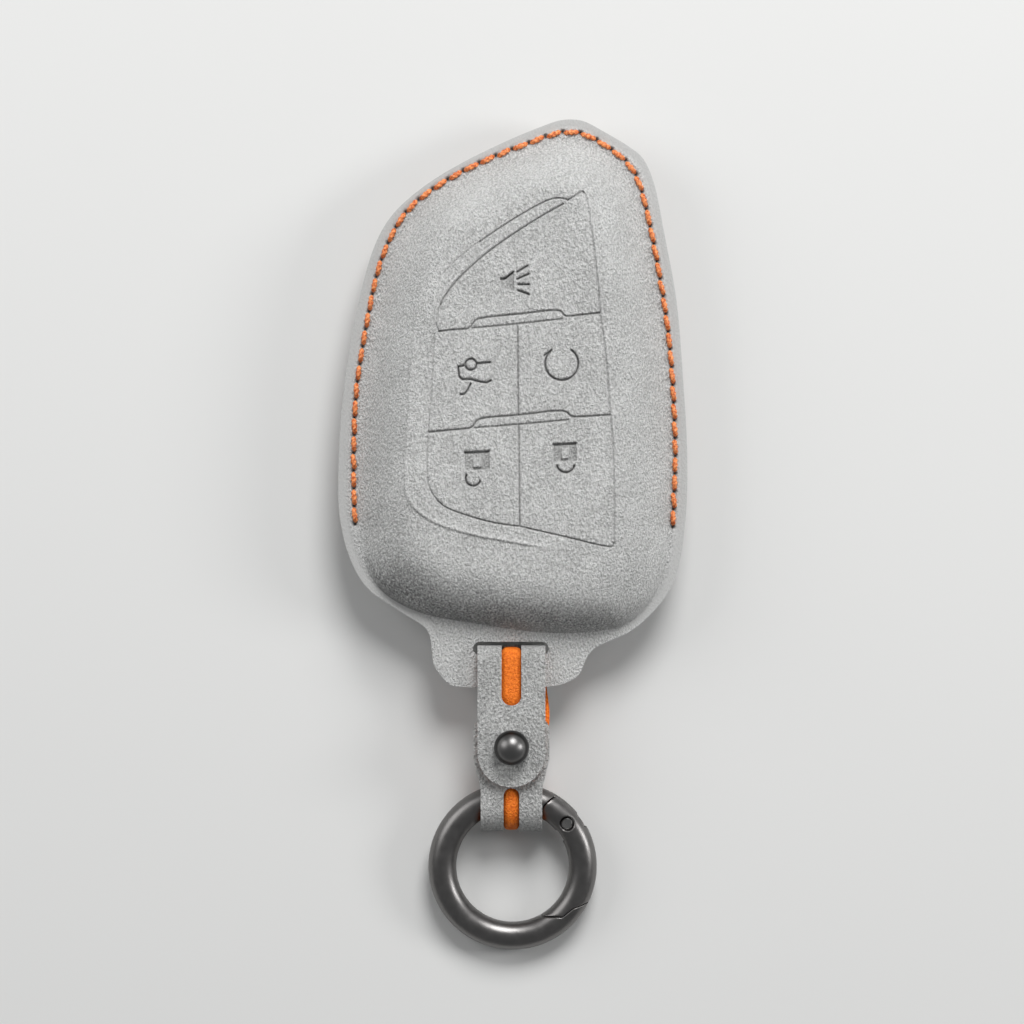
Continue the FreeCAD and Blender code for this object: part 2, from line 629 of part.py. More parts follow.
os.makedirs("parts", exist_ok=True)
for name, make in NODES.items():
    shape = make()
    print(name, shape.isValid(), len(shape.Solids), round(shape.Volume, 1), shape.BoundBox)
    shape.exportStep("parts/" + name + ".step")
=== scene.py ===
import math

import bmesh
import bpy
import numpy as np
from mathutils import Matrix, Vector
from mathutils.kdtree import KDTree


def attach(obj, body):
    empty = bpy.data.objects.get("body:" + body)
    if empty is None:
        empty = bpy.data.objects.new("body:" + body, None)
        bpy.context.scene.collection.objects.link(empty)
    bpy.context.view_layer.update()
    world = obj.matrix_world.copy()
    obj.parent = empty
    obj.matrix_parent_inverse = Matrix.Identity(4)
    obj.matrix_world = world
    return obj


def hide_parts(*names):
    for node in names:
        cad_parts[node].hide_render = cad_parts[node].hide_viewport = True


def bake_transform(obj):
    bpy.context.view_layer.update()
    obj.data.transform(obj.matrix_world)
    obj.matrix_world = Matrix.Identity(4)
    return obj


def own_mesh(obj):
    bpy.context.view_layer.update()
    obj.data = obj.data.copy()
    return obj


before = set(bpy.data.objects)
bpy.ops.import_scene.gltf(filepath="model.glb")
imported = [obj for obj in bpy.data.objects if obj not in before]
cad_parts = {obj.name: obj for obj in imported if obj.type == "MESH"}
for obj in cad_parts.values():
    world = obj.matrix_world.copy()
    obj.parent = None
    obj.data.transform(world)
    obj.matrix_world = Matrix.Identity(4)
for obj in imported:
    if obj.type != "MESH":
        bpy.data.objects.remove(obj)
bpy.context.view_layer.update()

# Back panel of the cover. A sheet of grey suede leather, wetted and pressed over a mould of the key,
# then cut to an even flange with a tab at the foot. It lies on its flat, and is sewn to the front.

MM = 0.001
HALF_WIDTH = 31.0 * MM
TOP_REACH = 46.3 * MM
LEATHER = 1.4 * MM
SPLIT_Z = 7.7 * MM
BACK_DEPTH = 6.3 * MM
BACK_SLOPE = 8.0 * MM
COVER_SHARES = [
    (-0.490, -0.947), (-0.650, -0.875), (-0.833, -0.786), (-0.931, -0.671), (-0.987, -0.514),
    (-0.994, -0.337), (-0.971, -0.080), (-0.897, 0.245), (-0.784, 0.525), (-0.687, 0.637),
    (-0.547, 0.725), (-0.381, 0.801), (-0.129, 0.890), (0.146, 0.970), (0.284, 1.000),
    (0.397, 0.997), (0.506, 0.961), (0.673, 0.894), (0.742, 0.855), (0.803, 0.767),
    (0.868, 0.559), (0.935, 0.311), (0.971, 0.031), (0.997, -0.283), (0.987, -0.529),
    (0.939, -0.728), (0.879, -0.816), (0.787, -0.890), (0.671, -0.955), (0.552, -0.991),
]
TAB_SHARES = [
    (0.458, -1.024), (0.418, -1.063), (0.383, -1.118), (0.345, -1.138), (0.300, -1.153),
    (0.230, -1.164), (-0.330, -1.164), (-0.365, -1.155), (-0.415, -1.118), (-0.448, -1.085),
    (-0.459, -1.040), (-0.467, -0.989),
]
SWELL_SHARES = [
    (-0.882, -0.527), (-0.836, -0.705), (-0.742, -0.803), (-0.547, -0.878), (-0.215, -0.924), (0.146, -0.957),
    (0.427, -0.957), (0.650, -0.924), (0.810, -0.820), (0.880, -0.690), (0.897, -0.491), (0.890, -0.146),
    (0.856, 0.142), (0.793, 0.437), (0.722, 0.665), (0.655, 0.782), (0.540, 0.866), (0.390, 0.918),
    (0.270, 0.922), (-0.060, 0.843), (-0.438, 0.713), (-0.580, 0.625), (-0.678, 0.510), (-0.776, 0.284),
    (-0.833, 0.065), (-0.868, -0.222),
]
CURVE_STEPS = 24
FOOT_POINTS = 720
EDGE_POINTS = 288
FLANGE_RINGS = 8
SLOPE_RINGS = 14
STEEP_POWER = 0.75
GENTLE_POWER = 0.7
STEEP_BELOW = -39.0 * MM
GENTLE_ABOVE = -26.0 * MM
RIM_ROUND = 0.55 * MM
RIM_STEPS = 4
SHARP_ANGLE = math.radians(60)
PANEL_SMOOTH_ANGLE = math.radians(50)
SLOT_MIDDLE = Vector((-0.3 * MM, -47.25 * MM, 0))
SLOT_WIDTH = 13.4 * MM
SLOT_HEIGHT = 2.4 * MM
SLOT_CUT_DEPTH = 20.0 * MM
SLOT_SIDES = 48


def smooth_curve(points, count, closed=True):
    """Even points along a smooth curve through the given points."""
    p = np.array(points, float)
    ahead = p[:1] if closed else 2 * p[-1:] - p[-2:-1]
    behind = p[-1:] if closed else 2 * p[:1] - p[1:2]
    p = np.vstack([behind, p, ahead, p[1:2] if closed else ahead])
    step = np.sqrt(np.linalg.norm(np.diff(p, axis=0), axis=1) + 1e-12)[:, None]
    lead = np.diff(p, axis=0) / step
    slope = (lead[1:] * step[:-1] + lead[:-1] * step[1:]) / (step[1:] + step[:-1])
    last = len(p) - 2 if closed else len(p) - 3
    a, b, run = p[1:last], p[2:last + 1], step[1:last]
    t = np.linspace(0, 1, CURVE_STEPS, endpoint=False)[:, None, None]
    fine = (2 * t**3 - 3 * t**2 + 1) * a + (t**3 - 2 * t**2 + t) * slope[:last - 1] * run
    fine = fine + (3 * t**2 - 2 * t**3) * b + (t**3 - t**2) * slope[1:last] * run
    fine = np.vstack([fine.transpose(1, 0, 2).reshape(-1, 2), b[-1:]])
    along = np.concatenate([[0], np.cumsum(np.linalg.norm(np.diff(fine, axis=0), axis=1))])
    at = np.linspace(0, along[-1], count, endpoint=not closed)
    return np.column_stack([np.interp(at, along, fine[:, i]) for i in (0, 1)])


COVER_SIZE = np.array((HALF_WIDTH, TOP_REACH))
cover_edge = smooth_curve(COVER_SIZE * (COVER_SHARES + TAB_SHARES), EDGE_POINTS)
swell_foot = smooth_curve(COVER_SIZE * SWELL_SHARES, FOOT_POINTS)
swell_low, swell_high = swell_foot.min(0), swell_foot.max(0)
swell_middle = (swell_low + swell_high) / 2
swell_half = (swell_high - swell_low) / 2


def foot_reach(angle):
    """Distance from the middle of the pocket to the foot of the swelling, by angle."""
    off = swell_foot - swell_middle
    around = np.arctan2(off[:, 1], off[:, 0])
    order = np.argsort(around)
    return np.interp(angle, around[order], np.hypot(*off.T)[order], period=2 * np.pi)


def fresh(add, **sizes):
    """Adds a primitive with nothing else selected, and returns its object."""
    bpy.ops.object.select_all(action="DESELECT")
    add(**sizes)
    return bpy.context.object


def extrude_ring(obj, place):
    """Extrudes the selected edge loop and sets its new points with place."""
    bpy.ops.mesh.extrude_edges_move()
    shape = bmesh.from_edit_mesh(obj.data)
    for v in shape.verts:
        if v.select:
            v.co = place(v.co)
    bmesh.update_edit_mesh(obj.data)


def moulded_panel(name, edge, flange_rings, level, rise, slope, inset=0.0):
    """Skin of a panel: edge, flange, slope and flat, as one grid that starts from the cut edge."""
    panel = fresh(bpy.ops.mesh.primitive_circle_add, vertices=EDGE_POINTS, radius=HALF_WIDTH)
    panel.name = name
    for v, (x, y) in zip(panel.data.vertices, edge):
        v.co = (x, y, level)
    bpy.ops.object.mode_set(mode="EDIT")
    bpy.ops.mesh.select_all(action="SELECT")
    for ring in range(flange_rings):
        part = 1 / (flange_rings - ring)

        def inward(co, part=part):
            off = np.array(co[:2]) - swell_middle
            reach = np.hypot(*off)
            wanted = reach + (foot_reach(np.arctan2(off[1], off[0])) - reach) * part
            return (*(swell_middle + off * (wanted / reach)), level)

        extrude_ring(panel, inward)
    drawn = 1 - inset / swell_half
    for ring in range(1, SLOPE_RINGS + 1):
        share = ring / SLOPE_RINGS
        wanted = 1 - (inset + share * slope) / swell_half
        steep = math.sin(math.pi / 2 * share**STEEP_POWER)
        gentle = math.sin(math.pi / 2 * share**GENTLE_POWER) ** 2

        def upward(co, ratio=wanted / drawn, steep=steep, gentle=gentle):
            place = swell_middle + (np.array(co[:2]) - swell_middle) * ratio
            height = np.interp(place[1], (STEEP_BELOW, GENTLE_ABOVE), (steep, gentle))
            return (*place, level + rise * height)

        extrude_ring(panel, upward)
        drawn = wanted
    bpy.ops.mesh.fill_grid(span=EDGE_POINTS // 4, offset=0)
    bpy.ops.mesh.select_all(action="SELECT")
    bpy.ops.mesh.normals_make_consistent(inside=rise < 0)
    bpy.ops.object.mode_set(mode="OBJECT")
    if panel.data.polygons[len(panel.data.polygons) // 2].normal.z * rise < 0:
        panel.data.flip_normals()
    return panel


def apply_all(obj):
    """Applies every modifier of an object, in order."""
    bpy.context.view_layer.objects.active = obj
    for modifier in list(obj.modifiers):
        bpy.ops.object.modifier_apply(modifier=modifier.name)


def slot_cutter():
    """Round ended bar that cuts the strap slot through a tab."""
    round_bar = bpy.ops.mesh.primitive_cylinder_add
    bar = fresh(round_bar, vertices=SLOT_SIDES, radius=SLOT_HEIGHT / 2, depth=SLOT_CUT_DEPTH)
    half = SLOT_WIDTH / 2 - SLOT_HEIGHT / 2
    for v in bar.data.vertices:
        v.co.x += math.copysign(half, v.co.x)
        v.co += SLOT_MIDDLE + Vector((0, 0, SPLIT_Z))
    return bar


def cut_and_round(obj, cutters, rounding, steps):
    """Cuts a piece with the cutters, which then go, and rounds its sharp edges."""
    for cutter in cutters:
        cut = obj.modifiers.new("cut", "BOOLEAN")
        cut.operation = "DIFFERENCE"
        cut.solver = "EXACT"
        cut.object = cutter
    edge = obj.modifiers.new("edge", "BEVEL")
    edge.width = rounding
    edge.segments = steps
    edge.limit_method = "ANGLE"
    edge.angle_limit = SHARP_ANGLE
    apply_all(obj)
    for cutter in cutters:
        bpy.data.objects.remove(cutter)


def shade(obj, angle):
    """Shades a piece smooth, apart from edges sharper than the angle."""
    bpy.ops.object.select_all(action="DESELECT")
    obj.select_set(True)
    bpy.ops.object.shade_smooth_by_angle(angle=angle)


def finish_panel(panel, cutters, thickness, rounding):
    """Gives a skin its thickness, cuts it and rounds its cut edges."""
    wall = panel.modifiers.new("leather", "SOLIDIFY")
    wall.thickness = thickness
    wall.offset = -1
    cut_and_round(panel, cutters, rounding, RIM_STEPS)
    shade(panel, PANEL_SMOOTH_ANGLE)


back_panel = moulded_panel("back_panel", cover_edge, FLANGE_RINGS, SPLIT_Z - LEATHER, -BACK_DEPTH, BACK_SLOPE)
finish_panel(back_panel, [slot_cutter()], LEATHER, RIM_ROUND)
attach(back_panel, "cover")
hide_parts("back_cover")

# Suede of the cover and strap: split leather whose buffed face has a short even nap, dyed a pale grey.
# The nap lies in small tufts that catch the light, with faint clouds where a hand has brushed it. Painted
# shade darkens it in sunk lines, fills and stitch holes and on slopes facing away from the lamps; it is even
# where rubbed.

NAP_SIZE = 0.35 * MM
NAP_RELIEF = 0.78 * MM
NAP_LEAN = math.radians(-35)
NAP_STRETCH = 0.75
CLOUD_SIZE = 9.0 * MM
CLOUD_SHARE = 0.18
TONE_LOW = 0.36
TONE_HIGH = 0.64
# Painted shade in sunk lines, fills and stitch holes, as a share of the dark tone
RECESS_SHADE_SHARE = 0.3
# Painted shade on slopes facing away from the lamps, as a share of the dark tone
SLOPE_SHADE_SHARE = 0.32
BURNISH_SHARE = 0.85
BURNISH_TONE = 0.12
SUEDE_DARK = (0.41, 0.41, 0.403, 1)
SUEDE_LIGHT = (0.77, 0.77, 0.758, 1)
SUEDE_ROUGHNESS = 0.92
SUEDE_GLOSS = 0.18
SUEDE_SHEEN = 0.22
SHEEN_ROUGHNESS = 0.55


def give(node, inputs):
    """Sets inputs of a shader node, each to a value or to a link from another node's output."""
    for name, value in inputs.items():
        if isinstance(value, bpy.types.NodeSocket):
            node.id_data.links.new(value, node.inputs[name])
        else:
            node.inputs[name].default_value = value


def node_adder(tree):
    """Returns a function that adds a node with its inputs and settings to a node tree."""
    def add(kind, inputs=(), **settings):
        node = tree.nodes.new(kind)
        for name, value in settings.items():
            setattr(node, name, value)
        give(node, dict(inputs))
        return node
    return add


def nap_group():
    """Node group of a nap: Tone for colour and Height for relief, from Object coordinates."""
    group = bpy.data.node_groups.new("nap", "ShaderNodeTree")
    group.interface.new_socket("Tuft", in_out="INPUT", socket_type="NodeSocketFloat")
    group.interface.new_socket("Cloud", in_out="INPUT", socket_type="NodeSocketFloat")
    group.interface.new_socket("Burnish", in_out="INPUT", socket_type="NodeSocketFloat")
    group.interface.new_socket("Tone", in_out="OUTPUT", socket_type="NodeSocketFloat")
    group.interface.new_socket("Height", in_out="OUTPUT", socket_type="NodeSocketFloat")
    add = node_adder(group)
    given = add("NodeGroupInput")
    place = add("ShaderNodeTexCoord").outputs["Object"]
    brushed = add("ShaderNodeMapping", {"Vector": place, "Rotation": (0, 0, NAP_LEAN),
                                        "Scale": (1, NAP_STRETCH, 1)})
    tuft = add("ShaderNodeTexNoise", {"Vector": brushed.outputs["Vector"], "Scale": given.outputs["Tuft"],
                                      "Detail": 3.0, "Roughness": 0.6, "Distortion": 0.15})
    cloud = add("ShaderNodeTexNoise", {"Vector": place, "Scale": given.outputs["Cloud"], "Detail": 4.0})
    patches = add("ShaderNodeMath", {0: cloud.outputs["Fac"], 1: CLOUD_SHARE}, operation="MULTIPLY")
    grain = add("ShaderNodeMath", {0: tuft.outputs["Fac"], 1: 1 - CLOUD_SHARE}, operation="MULTIPLY")
    tone = add("ShaderNodeMath", {0: patches.outputs[0], 1: grain.outputs[0]}, operation="ADD")
    tone = tone.outputs[0]
    spread = add("ShaderNodeMapRange", {"Value": tone, "From Min": TONE_LOW, "From Max": TONE_HIGH})
    laid = add("ShaderNodeMath", {0: given.outputs["Burnish"], 1: BURNISH_SHARE}, operation="MULTIPLY")
    even = add("ShaderNodeMix", {"Factor": laid.outputs[0], "A": spread.outputs[0], "B": BURNISH_TONE})
    left = add("ShaderNodeMath", {0: 1.0, 1: laid.outputs[0]}, operation="SUBTRACT")
    height = add("ShaderNodeMath", {0: tuft.outputs["Fac"], 1: left.outputs[0]}, operation="MULTIPLY")
    add("NodeGroupOutput", {"Tone": even.outputs["Result"], "Height": height.outputs[0]})
    return group


def new_material(name):
    """A material, its node adder and its shader."""
    material = bpy.data.materials.new(name)
    material.use_nodes = True
    tree = material.node_tree
    return material, node_adder(tree), tree.nodes["Principled BSDF"]


def suede(name, dark, light, nap_size, nap_relief):
    """Buffed leather with a nap, in two tones of one dye, with the painted shade and rubbed edge that its
    piece marks.
    """
    material, add, shader = new_material(name)
    rubbed_edge = add("ShaderNodeAttribute", attribute_name="burnish").outputs["Fac"]
    # Painted shade: on slopes facing away from the lamps the colour goes towards a darker tone of the nap
    slope_shade_amount = add("ShaderNodeAttribute", attribute_name="painted_slope_shade").outputs["Fac"]
    # Painted shade: darker where lines, fills and stitch holes are sunk
    recess_shade_amount = add("ShaderNodeAttribute", attribute_name="recess_shade").outputs["Fac"]
    nap = add("ShaderNodeGroup", node_tree=nap_nodes)
    give(nap, {"Tuft": 1 / nap_size, "Cloud": 1 / CLOUD_SIZE, "Burnish": rubbed_edge})
    tones = add("ShaderNodeMix", {"Factor": nap.outputs["Tone"], "A": dark, "B": light}, data_type="RGBA")
    between = add("ShaderNodeMath", {0: 1.0, 1: nap.outputs["Tone"]}, operation="SUBTRACT")
    slope_shade_shown = add("ShaderNodeMath", {0: slope_shade_amount, 1: between.outputs[0]}, operation="MULTIPLY")
    slope_shade_colour = [value * SLOPE_SHADE_SHARE for value in dark[:3]] + [1]
    tones = tones.outputs["Result"]
    painted_slope_shade = add("ShaderNodeMix", {"Factor": slope_shade_shown.outputs[0], "A": tones, "B": slope_shade_colour}, data_type="RGBA")
    recess_shade_colour = [value * RECESS_SHADE_SHARE for value in dark[:3]] + [1]
    painted_slope_shade = painted_slope_shade.outputs["Result"]
    recess_shaded = add("ShaderNodeMix", {"Factor": recess_shade_amount, "A": painted_slope_shade, "B": recess_shade_colour}, data_type="RGBA")
    relief = add("ShaderNodeBump", {"Height": nap.outputs["Height"], "Strength": 1.0, "Distance": nap_relief})
    give(shader, {"Base Color": recess_shaded.outputs["Result"], "Normal": relief.outputs["Normal"]})
    give(shader, {"Roughness": SUEDE_ROUGHNESS, "Specular IOR Level": SUEDE_GLOSS})
    give(shader, {"Sheen Weight": SUEDE_SHEEN, "Sheen Roughness": SHEEN_ROUGHNESS})
    return material


nap_nodes = nap_group()
grey_suede = suede("grey_suede", SUEDE_DARK, SUEDE_LIGHT, NAP_SIZE, NAP_RELIEF)
back_panel.data.materials.append(grey_suede)

# Front panel of the cover, pressed over the same mould. A heated stamp sinks the lines of the key's five
# buttons and their signs into the suede, so that a thumb finds them, and a soft ledge runs round them.

FRONT_RISE = 8.2 * MM
FRONT_SLOPE = 10.0 * MM
FRONT_LEVEL = SPLIT_Z + LEATHER
FRONT_TOP = FRONT_LEVEL + FRONT_RISE
PIXEL = MM / 5.633
PHOTO_ORIGIN = np.array((512.5, 382.0))
CAMERA_SPOT = np.array((-0.1 * MM, -23.08 * MM))
CAMERA_HEIGHT = 1000.0 * MM
FOCUS_LEVEL = 6.0 * MM
FRAME_WIDTH = 1024 * PIXEL


def from_photo(pixels, level):
    """Places at a level of the object that the camera sees at these pixels of the photograph."""
    flat = (np.array(pixels, float) - PHOTO_ORIGIN) * (PIXEL, -PIXEL)
    near = (CAMERA_HEIGHT - level) / (CAMERA_HEIGHT - FOCUS_LEVEL)
    return CAMERA_SPOT + (flat - CAMERA_SPOT) * near


def arc_pixels(middle, radius, start, end, count=14):
    """Pixels on an arc, by angle in degrees, measured the way that a clock's hands turn from the right."""
    turn = np.radians(np.linspace(start, end, count))
    return [(middle[0] + radius * math.cos(a), middle[1] + radius * math.sin(a)) for a in turn]


SIDE_PIXELS = [
    (584, 192.5), (585.5, 196), (591, 231), (597.5, 286), (599.5, 313), (605, 354), (610, 420), (612, 440),
    (613.6, 500), (613.6, 543),
]
RIDGE_SHIFT_PIXELS = 2.3
RIDGE_PIXELS = [(x + RIDGE_SHIFT_PIXELS, y) for x, y in SIDE_PIXELS]
BOTTOM_PIXELS = [(613.6, 543), (612, 546.5), (606, 546.5), (565, 537), (519.6, 526.6)]
FOOT_PIXELS = [(519.6, 526.6), (494, 523), (462, 514), (445, 507), (437.5, 501)]
APEX_PIXELS = [(568, 200), (575, 195.6), (582, 191.3), (584, 192.5)]
LEFT_PIXELS = [(437.5, 501), (432, 493.5), (428, 484), (426.8, 462), (428, 434), (430.5, 400), (434, 334)]
DIAGONAL_PIXELS = [(563, 204), (533, 221.3), (488, 252), (457.3, 280), (444, 297.3), (440.5, 304.5)]
CORNER_PIXELS = [(440.5, 304.5), (437.5, 314), (436.3, 324), (438.7, 331.5)]
LIP_PIXELS = [(568, 200), (561, 198.3), (553, 198.7), (544, 202), (512, 220), (480, 241.3)]
LIP_END_PIXELS = [(480, 241.3), (467, 251.5), (453, 263), (443, 274)]
LEDGE_PIXELS = [
    (435, 284), (422, 302), (416, 320), (412, 360), (410, 391), (406.5, 440), (405, 478), (407, 495),
    (413, 506), (429, 519), (465, 532), (521, 543), (572, 551.5),
]
DIVIDER_PIXELS = [
    [(438.7, 331.5), (452, 330), (468, 328.5), (471, 326), (475, 320.5), (480, 318.6), (520, 314),
     (556, 310.4), (561, 311.5), (564.5, 316), (567, 316.3), (599.5, 313)],
    [(429, 432.3), (452, 430), (470, 428), (473, 426), (477, 420.5), (482, 418.6), (520, 415), (561, 411),
     (567, 412.5), (571, 416.6), (575, 417), (609.5, 415)],
]
BAR_PIXELS = [
    [(472, 328.2), (517, 324), (562, 319)], [(474, 428), (520, 424.5), (568, 420)],
    [(517.5, 325), (518.2, 415)], [(518.7, 425), (519.6, 526)],
]
HORN_PIXELS = [(500.5, 279), (513.5, 272), (514, 291), (501, 288)]
SIGN_PIXELS = [
    [(500.5, 278.8), (505, 278.4), (513, 272)],
    [(517, 272), (527, 266)], [(517, 279), (528.6, 274)],
    [(518, 284.5), (529, 284.5)], [(518, 290.5), (529, 294.5)],
    arc_pixels((470.7, 364.5), 5.7, 0, 360), [(476.5, 363.6), (490, 362.4)], [(465.2, 365.4), (458.1, 366.7)],
    [(458.1, 366.7), (459, 376.5), (462, 379.5), (470, 379.2), (480, 381.9), (486.7, 382.7), (490.7, 380.5)],
    [(470.5, 384), (467.2, 390.7), (464, 394.1), (460.3, 394.4)],
    arc_pixels((561.6, 363.6), 16.6, -54, 226, 28), [(544.3, 355.2), (551.5, 350.2)],
    arc_pixels((473, 478.5), 7.5, 205, 25), arc_pixels((565.5, 463.5), 9, 165, 15),
    [(464.5, 452.6), (489, 451.4)], [(553, 444.6), (576, 443.4)],
]
LOCK_PIXELS = [
    [(464.5, 453), (489, 452), (489.5, 469.5), (479.5, 470), (465, 470)],
    [(553, 445), (576, 444), (576.4, 461), (553.4, 461.6)],
]
KEYHOLE_PIXELS = [
    [(473, 458), (481, 457.6), (481.2, 467.4), (473.2, 467.8)],
    [(561.3, 448.3), (568.3, 448), (568.5, 458.4), (561.5, 458.8)],
]
LINE_DEPTH = 0.5 * MM
LINE_REACH = 0.15 * MM
FINE_DEPTH = 0.4 * MM
FINE_REACH = 0.14 * MM
FAINT_DEPTH = 0.26 * MM
SIDE_DEPTH = 0.14 * MM
RIDGE_RISE = 0.22 * MM
RIDGE_REACH = 0.2 * MM
LEDGE_RISE = 0.34 * MM
LEDGE_REACH = 0.3 * MM
LEDGE_FADE = 11.0 * MM
SIGN_DEPTH = 0.75 * MM
SIGN_REACH = 0.16 * MM
FILL_DEPTH = 0.45 * MM
FILL_WALL = 0.16 * MM
LINE_SAMPLE = 0.06 * MM
LINE_POINTS = 60
LEDGE_REFINES = (1.2 * MM, 0.55 * MM)
LINE_REFINES = (1.05 * MM, 0.47 * MM, 0.27 * MM)
SKIN_MARGIN = 1.3 * MM
SKIN_FACING = 0.3
# Shares of painted shade in the sunk fills, lines and signs; the raised keyholes have it taken away
FILL_SHADE = 0.3
LINE_SHADE = 0.35
FINE_SHADE = 0.3
SIGN_SHADE = 0.7
UNSHADED = -1.0


def nearest(lines, places):
    """Distance of flat places from the nearest of several lines, which are sampled finely."""
    samples = []
    for line in lines:
        for a, b in zip(line, line[1:]):
            count = max(2, math.ceil(math.dist(a, b) / LINE_SAMPLE) + 1)
            samples.append(np.linspace(a, b, count))
    samples = np.vstack(samples)
    tree = KDTree(len(samples))
    for i, (x, y) in enumerate(samples):
        tree.insert((x, y, 0), i)
    tree.balance()
    return np.array([tree.find((x, y, 0))[2] for x, y in places])


def inside(polygon, places):
    """Which flat places are inside a polygon, by counting the sides that they look across."""
    hits = np.zeros(len(places), int)
    x, y = places.T
    for (ax, ay), (bx, by) in zip(polygon, np.roll(polygon, -1, 0)):
        spans = (ay > y) != (by > y)
        rise = by - ay if by != ay else 1.0
        hits += spans & (x < ax + (y - ay) * (bx - ax) / rise)
    return hits % 2 == 1


def outer_skin(obj, level, side):
    """Faces and points of a panel beyond a level on its outer side, which is up or down."""
    middles = np.array([f.center for f in obj.data.polygons])
    faces = (middles[:, 2] - level) * side > 0
    faces &= np.array([f.normal.z for f in obj.data.polygons]) * side > SKIN_FACING
    places = np.array([v.co for v in obj.data.vertices])
    points = (places[:, 2] - level) * side > 0
    points &= np.array([v.normal.z for v in obj.data.vertices]) * side > SKIN_FACING
    return middles, faces, places, points


def refine(obj, lines, reach, level, side=1):
    """Divides the outer faces whose middle is within reach of the lines."""
    middles, chosen, _, _ = outer_skin(obj, level, side)
    chosen[chosen] = nearest(lines, middles[chosen, :2]) < reach
    bpy.ops.object.select_all(action="DESELECT")
    obj.select_set(True)
    bpy.context.view_layer.objects.active = obj
    bpy.ops.object.mode_set(mode="EDIT")
    bpy.ops.mesh.select_mode(type="FACE")
    bpy.ops.mesh.select_all(action="DESELECT")
    bpy.ops.object.mode_set(mode="OBJECT")
    obj.data.polygons.foreach_set("select", chosen)
    bpy.ops.object.mode_set(mode="EDIT")
    bpy.ops.mesh.subdivide(number_cuts=1, smoothness=0)
    bpy.ops.object.mode_set(mode="OBJECT")


def lower(obj, places, chosen, drops, recess_shade_amount):
    """Moves the chosen points in by their drops, and marks how much painted shade they get, from 0 to 1."""
    places[chosen, 2] -= drops
    obj.data.vertices.foreach_set("co", places.ravel())
    mark = obj.data.attributes.get("recess_shade") or obj.data.attributes.new("recess_shade", "FLOAT", "POINT")
    before = np.zeros(len(places))
    mark.data.foreach_get("value", before)
    before[chosen] = np.clip(np.maximum(before[chosen], recess_shade_amount) + np.minimum(recess_shade_amount, 0), 0, 1)
    mark.data.foreach_set("value", before)
    obj.data.update()


def press(obj, lines, depth, reach, level, side=1, recess_shade_amount=0.0, fade=0.0):
    """Sinks the outer skin along the lines, with soft shoulders, and fades towards their ends."""
    _, _, places, chosen = outer_skin(obj, level, side)
    near = np.exp(-(nearest(lines, places[chosen, :2]) / reach) ** 2)
    if fade:
        tips = [np.array([tip, tip]) for line in lines for tip in (line[0], line[-1])]
        near *= np.clip(nearest(tips, places[chosen, :2]) / fade, 0, 1)
    lower(obj, places, chosen, side * depth * near, recess_shade_amount * near)


def sink(obj, polygon, depth, wall, level, side=1, recess_shade_amount=0.0):
    """Sinks the outer skin inside a polygon, with a soft wall as wide as is given."""
    _, _, places, chosen = outer_skin(obj, level, side)
    flat = places[chosen, :2]
    away = nearest([np.vstack([polygon, polygon[:1]])], flat)
    depths = np.clip(np.where(inside(polygon, flat), away, -away) / wall + 0.5, 0, 1)
    eased = depths * depths * (3 - 2 * depths)
    lower(obj, places, chosen, side * depth * eased, recess_shade_amount * eased)


def drawn_lines(lines):
    """Smooth lines of the stamp, from pixels of the photograph."""
    return [from_photo(smooth_curve(line, LINE_POINTS, closed=False), FRONT_TOP) for line in lines]


front_panel = moulded_panel("front_panel", cover_edge, FLANGE_RINGS, FRONT_LEVEL, FRONT_RISE, FRONT_SLOPE)
finish_panel(front_panel, [slot_cutter()], LEATHER, RIM_ROUND)
strong = drawn_lines(DIVIDER_PIXELS + [DIAGONAL_PIXELS, APEX_PIXELS])
fine = drawn_lines(BAR_PIXELS + [LIP_PIXELS, BOTTOM_PIXELS, FOOT_PIXELS])
faint = drawn_lines([LEFT_PIXELS, CORNER_PIXELS, LIP_END_PIXELS])
side_line = drawn_lines([SIDE_PIXELS])
ridge = drawn_lines([RIDGE_PIXELS])
ledge = drawn_lines([LEDGE_PIXELS])
signs = [from_photo(line, FRONT_TOP) for line in SIGN_PIXELS]
fills = [from_photo(line, FRONT_TOP) for line in [HORN_PIXELS] + LOCK_PIXELS]
keyholes = [from_photo(line, FRONT_TOP) for line in KEYHOLE_PIXELS]
rims = [np.vstack([line, line[:1]]) for line in fills + keyholes]
skin = FRONT_TOP - SKIN_MARGIN
for reach in LEDGE_REFINES:
    refine(front_panel, ledge, reach, skin)
for reach in LINE_REFINES:
    refine(front_panel, strong + fine + faint + side_line + ridge + signs + rims, reach, skin)
press(front_panel, ledge, -LEDGE_RISE, LEDGE_REACH, skin, fade=LEDGE_FADE)
# Sunk fills, lines and signs get painted shade that grows with their depth; raised keyholes lose it
for polygon in fills:
    sink(front_panel, polygon, FILL_DEPTH, FILL_WALL, skin, recess_shade_amount=FILL_SHADE)
for polygon in keyholes:
    sink(front_panel, polygon, -FILL_DEPTH, FILL_WALL, skin, recess_shade_amount=UNSHADED)
press(front_panel, ridge, -RIDGE_RISE, RIDGE_REACH, skin)
press(front_panel, strong, LINE_DEPTH, LINE_REACH, skin, recess_shade_amount=LINE_SHADE)
press(front_panel, fine, FINE_DEPTH, FINE_REACH, skin, recess_shade_amount=FINE_SHADE)
press(front_panel, faint, FAINT_DEPTH, LINE_REACH, skin)
press(front_panel, side_line, SIDE_DEPTH, LINE_REACH, skin)
press(front_panel, signs, SIGN_DEPTH, SIGN_REACH, skin, recess_shade_amount=SIGN_SHADE)
front_panel.data.materials.append(grey_suede)
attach(front_panel, "cover")
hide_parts("front_cover")

# Stitching: waxed orange thread in a lockstitch, through holes punched in both flanges, from one side of
# the mouth round the top to the other. Each stitch is two plies twisted, drawn down into the suede.

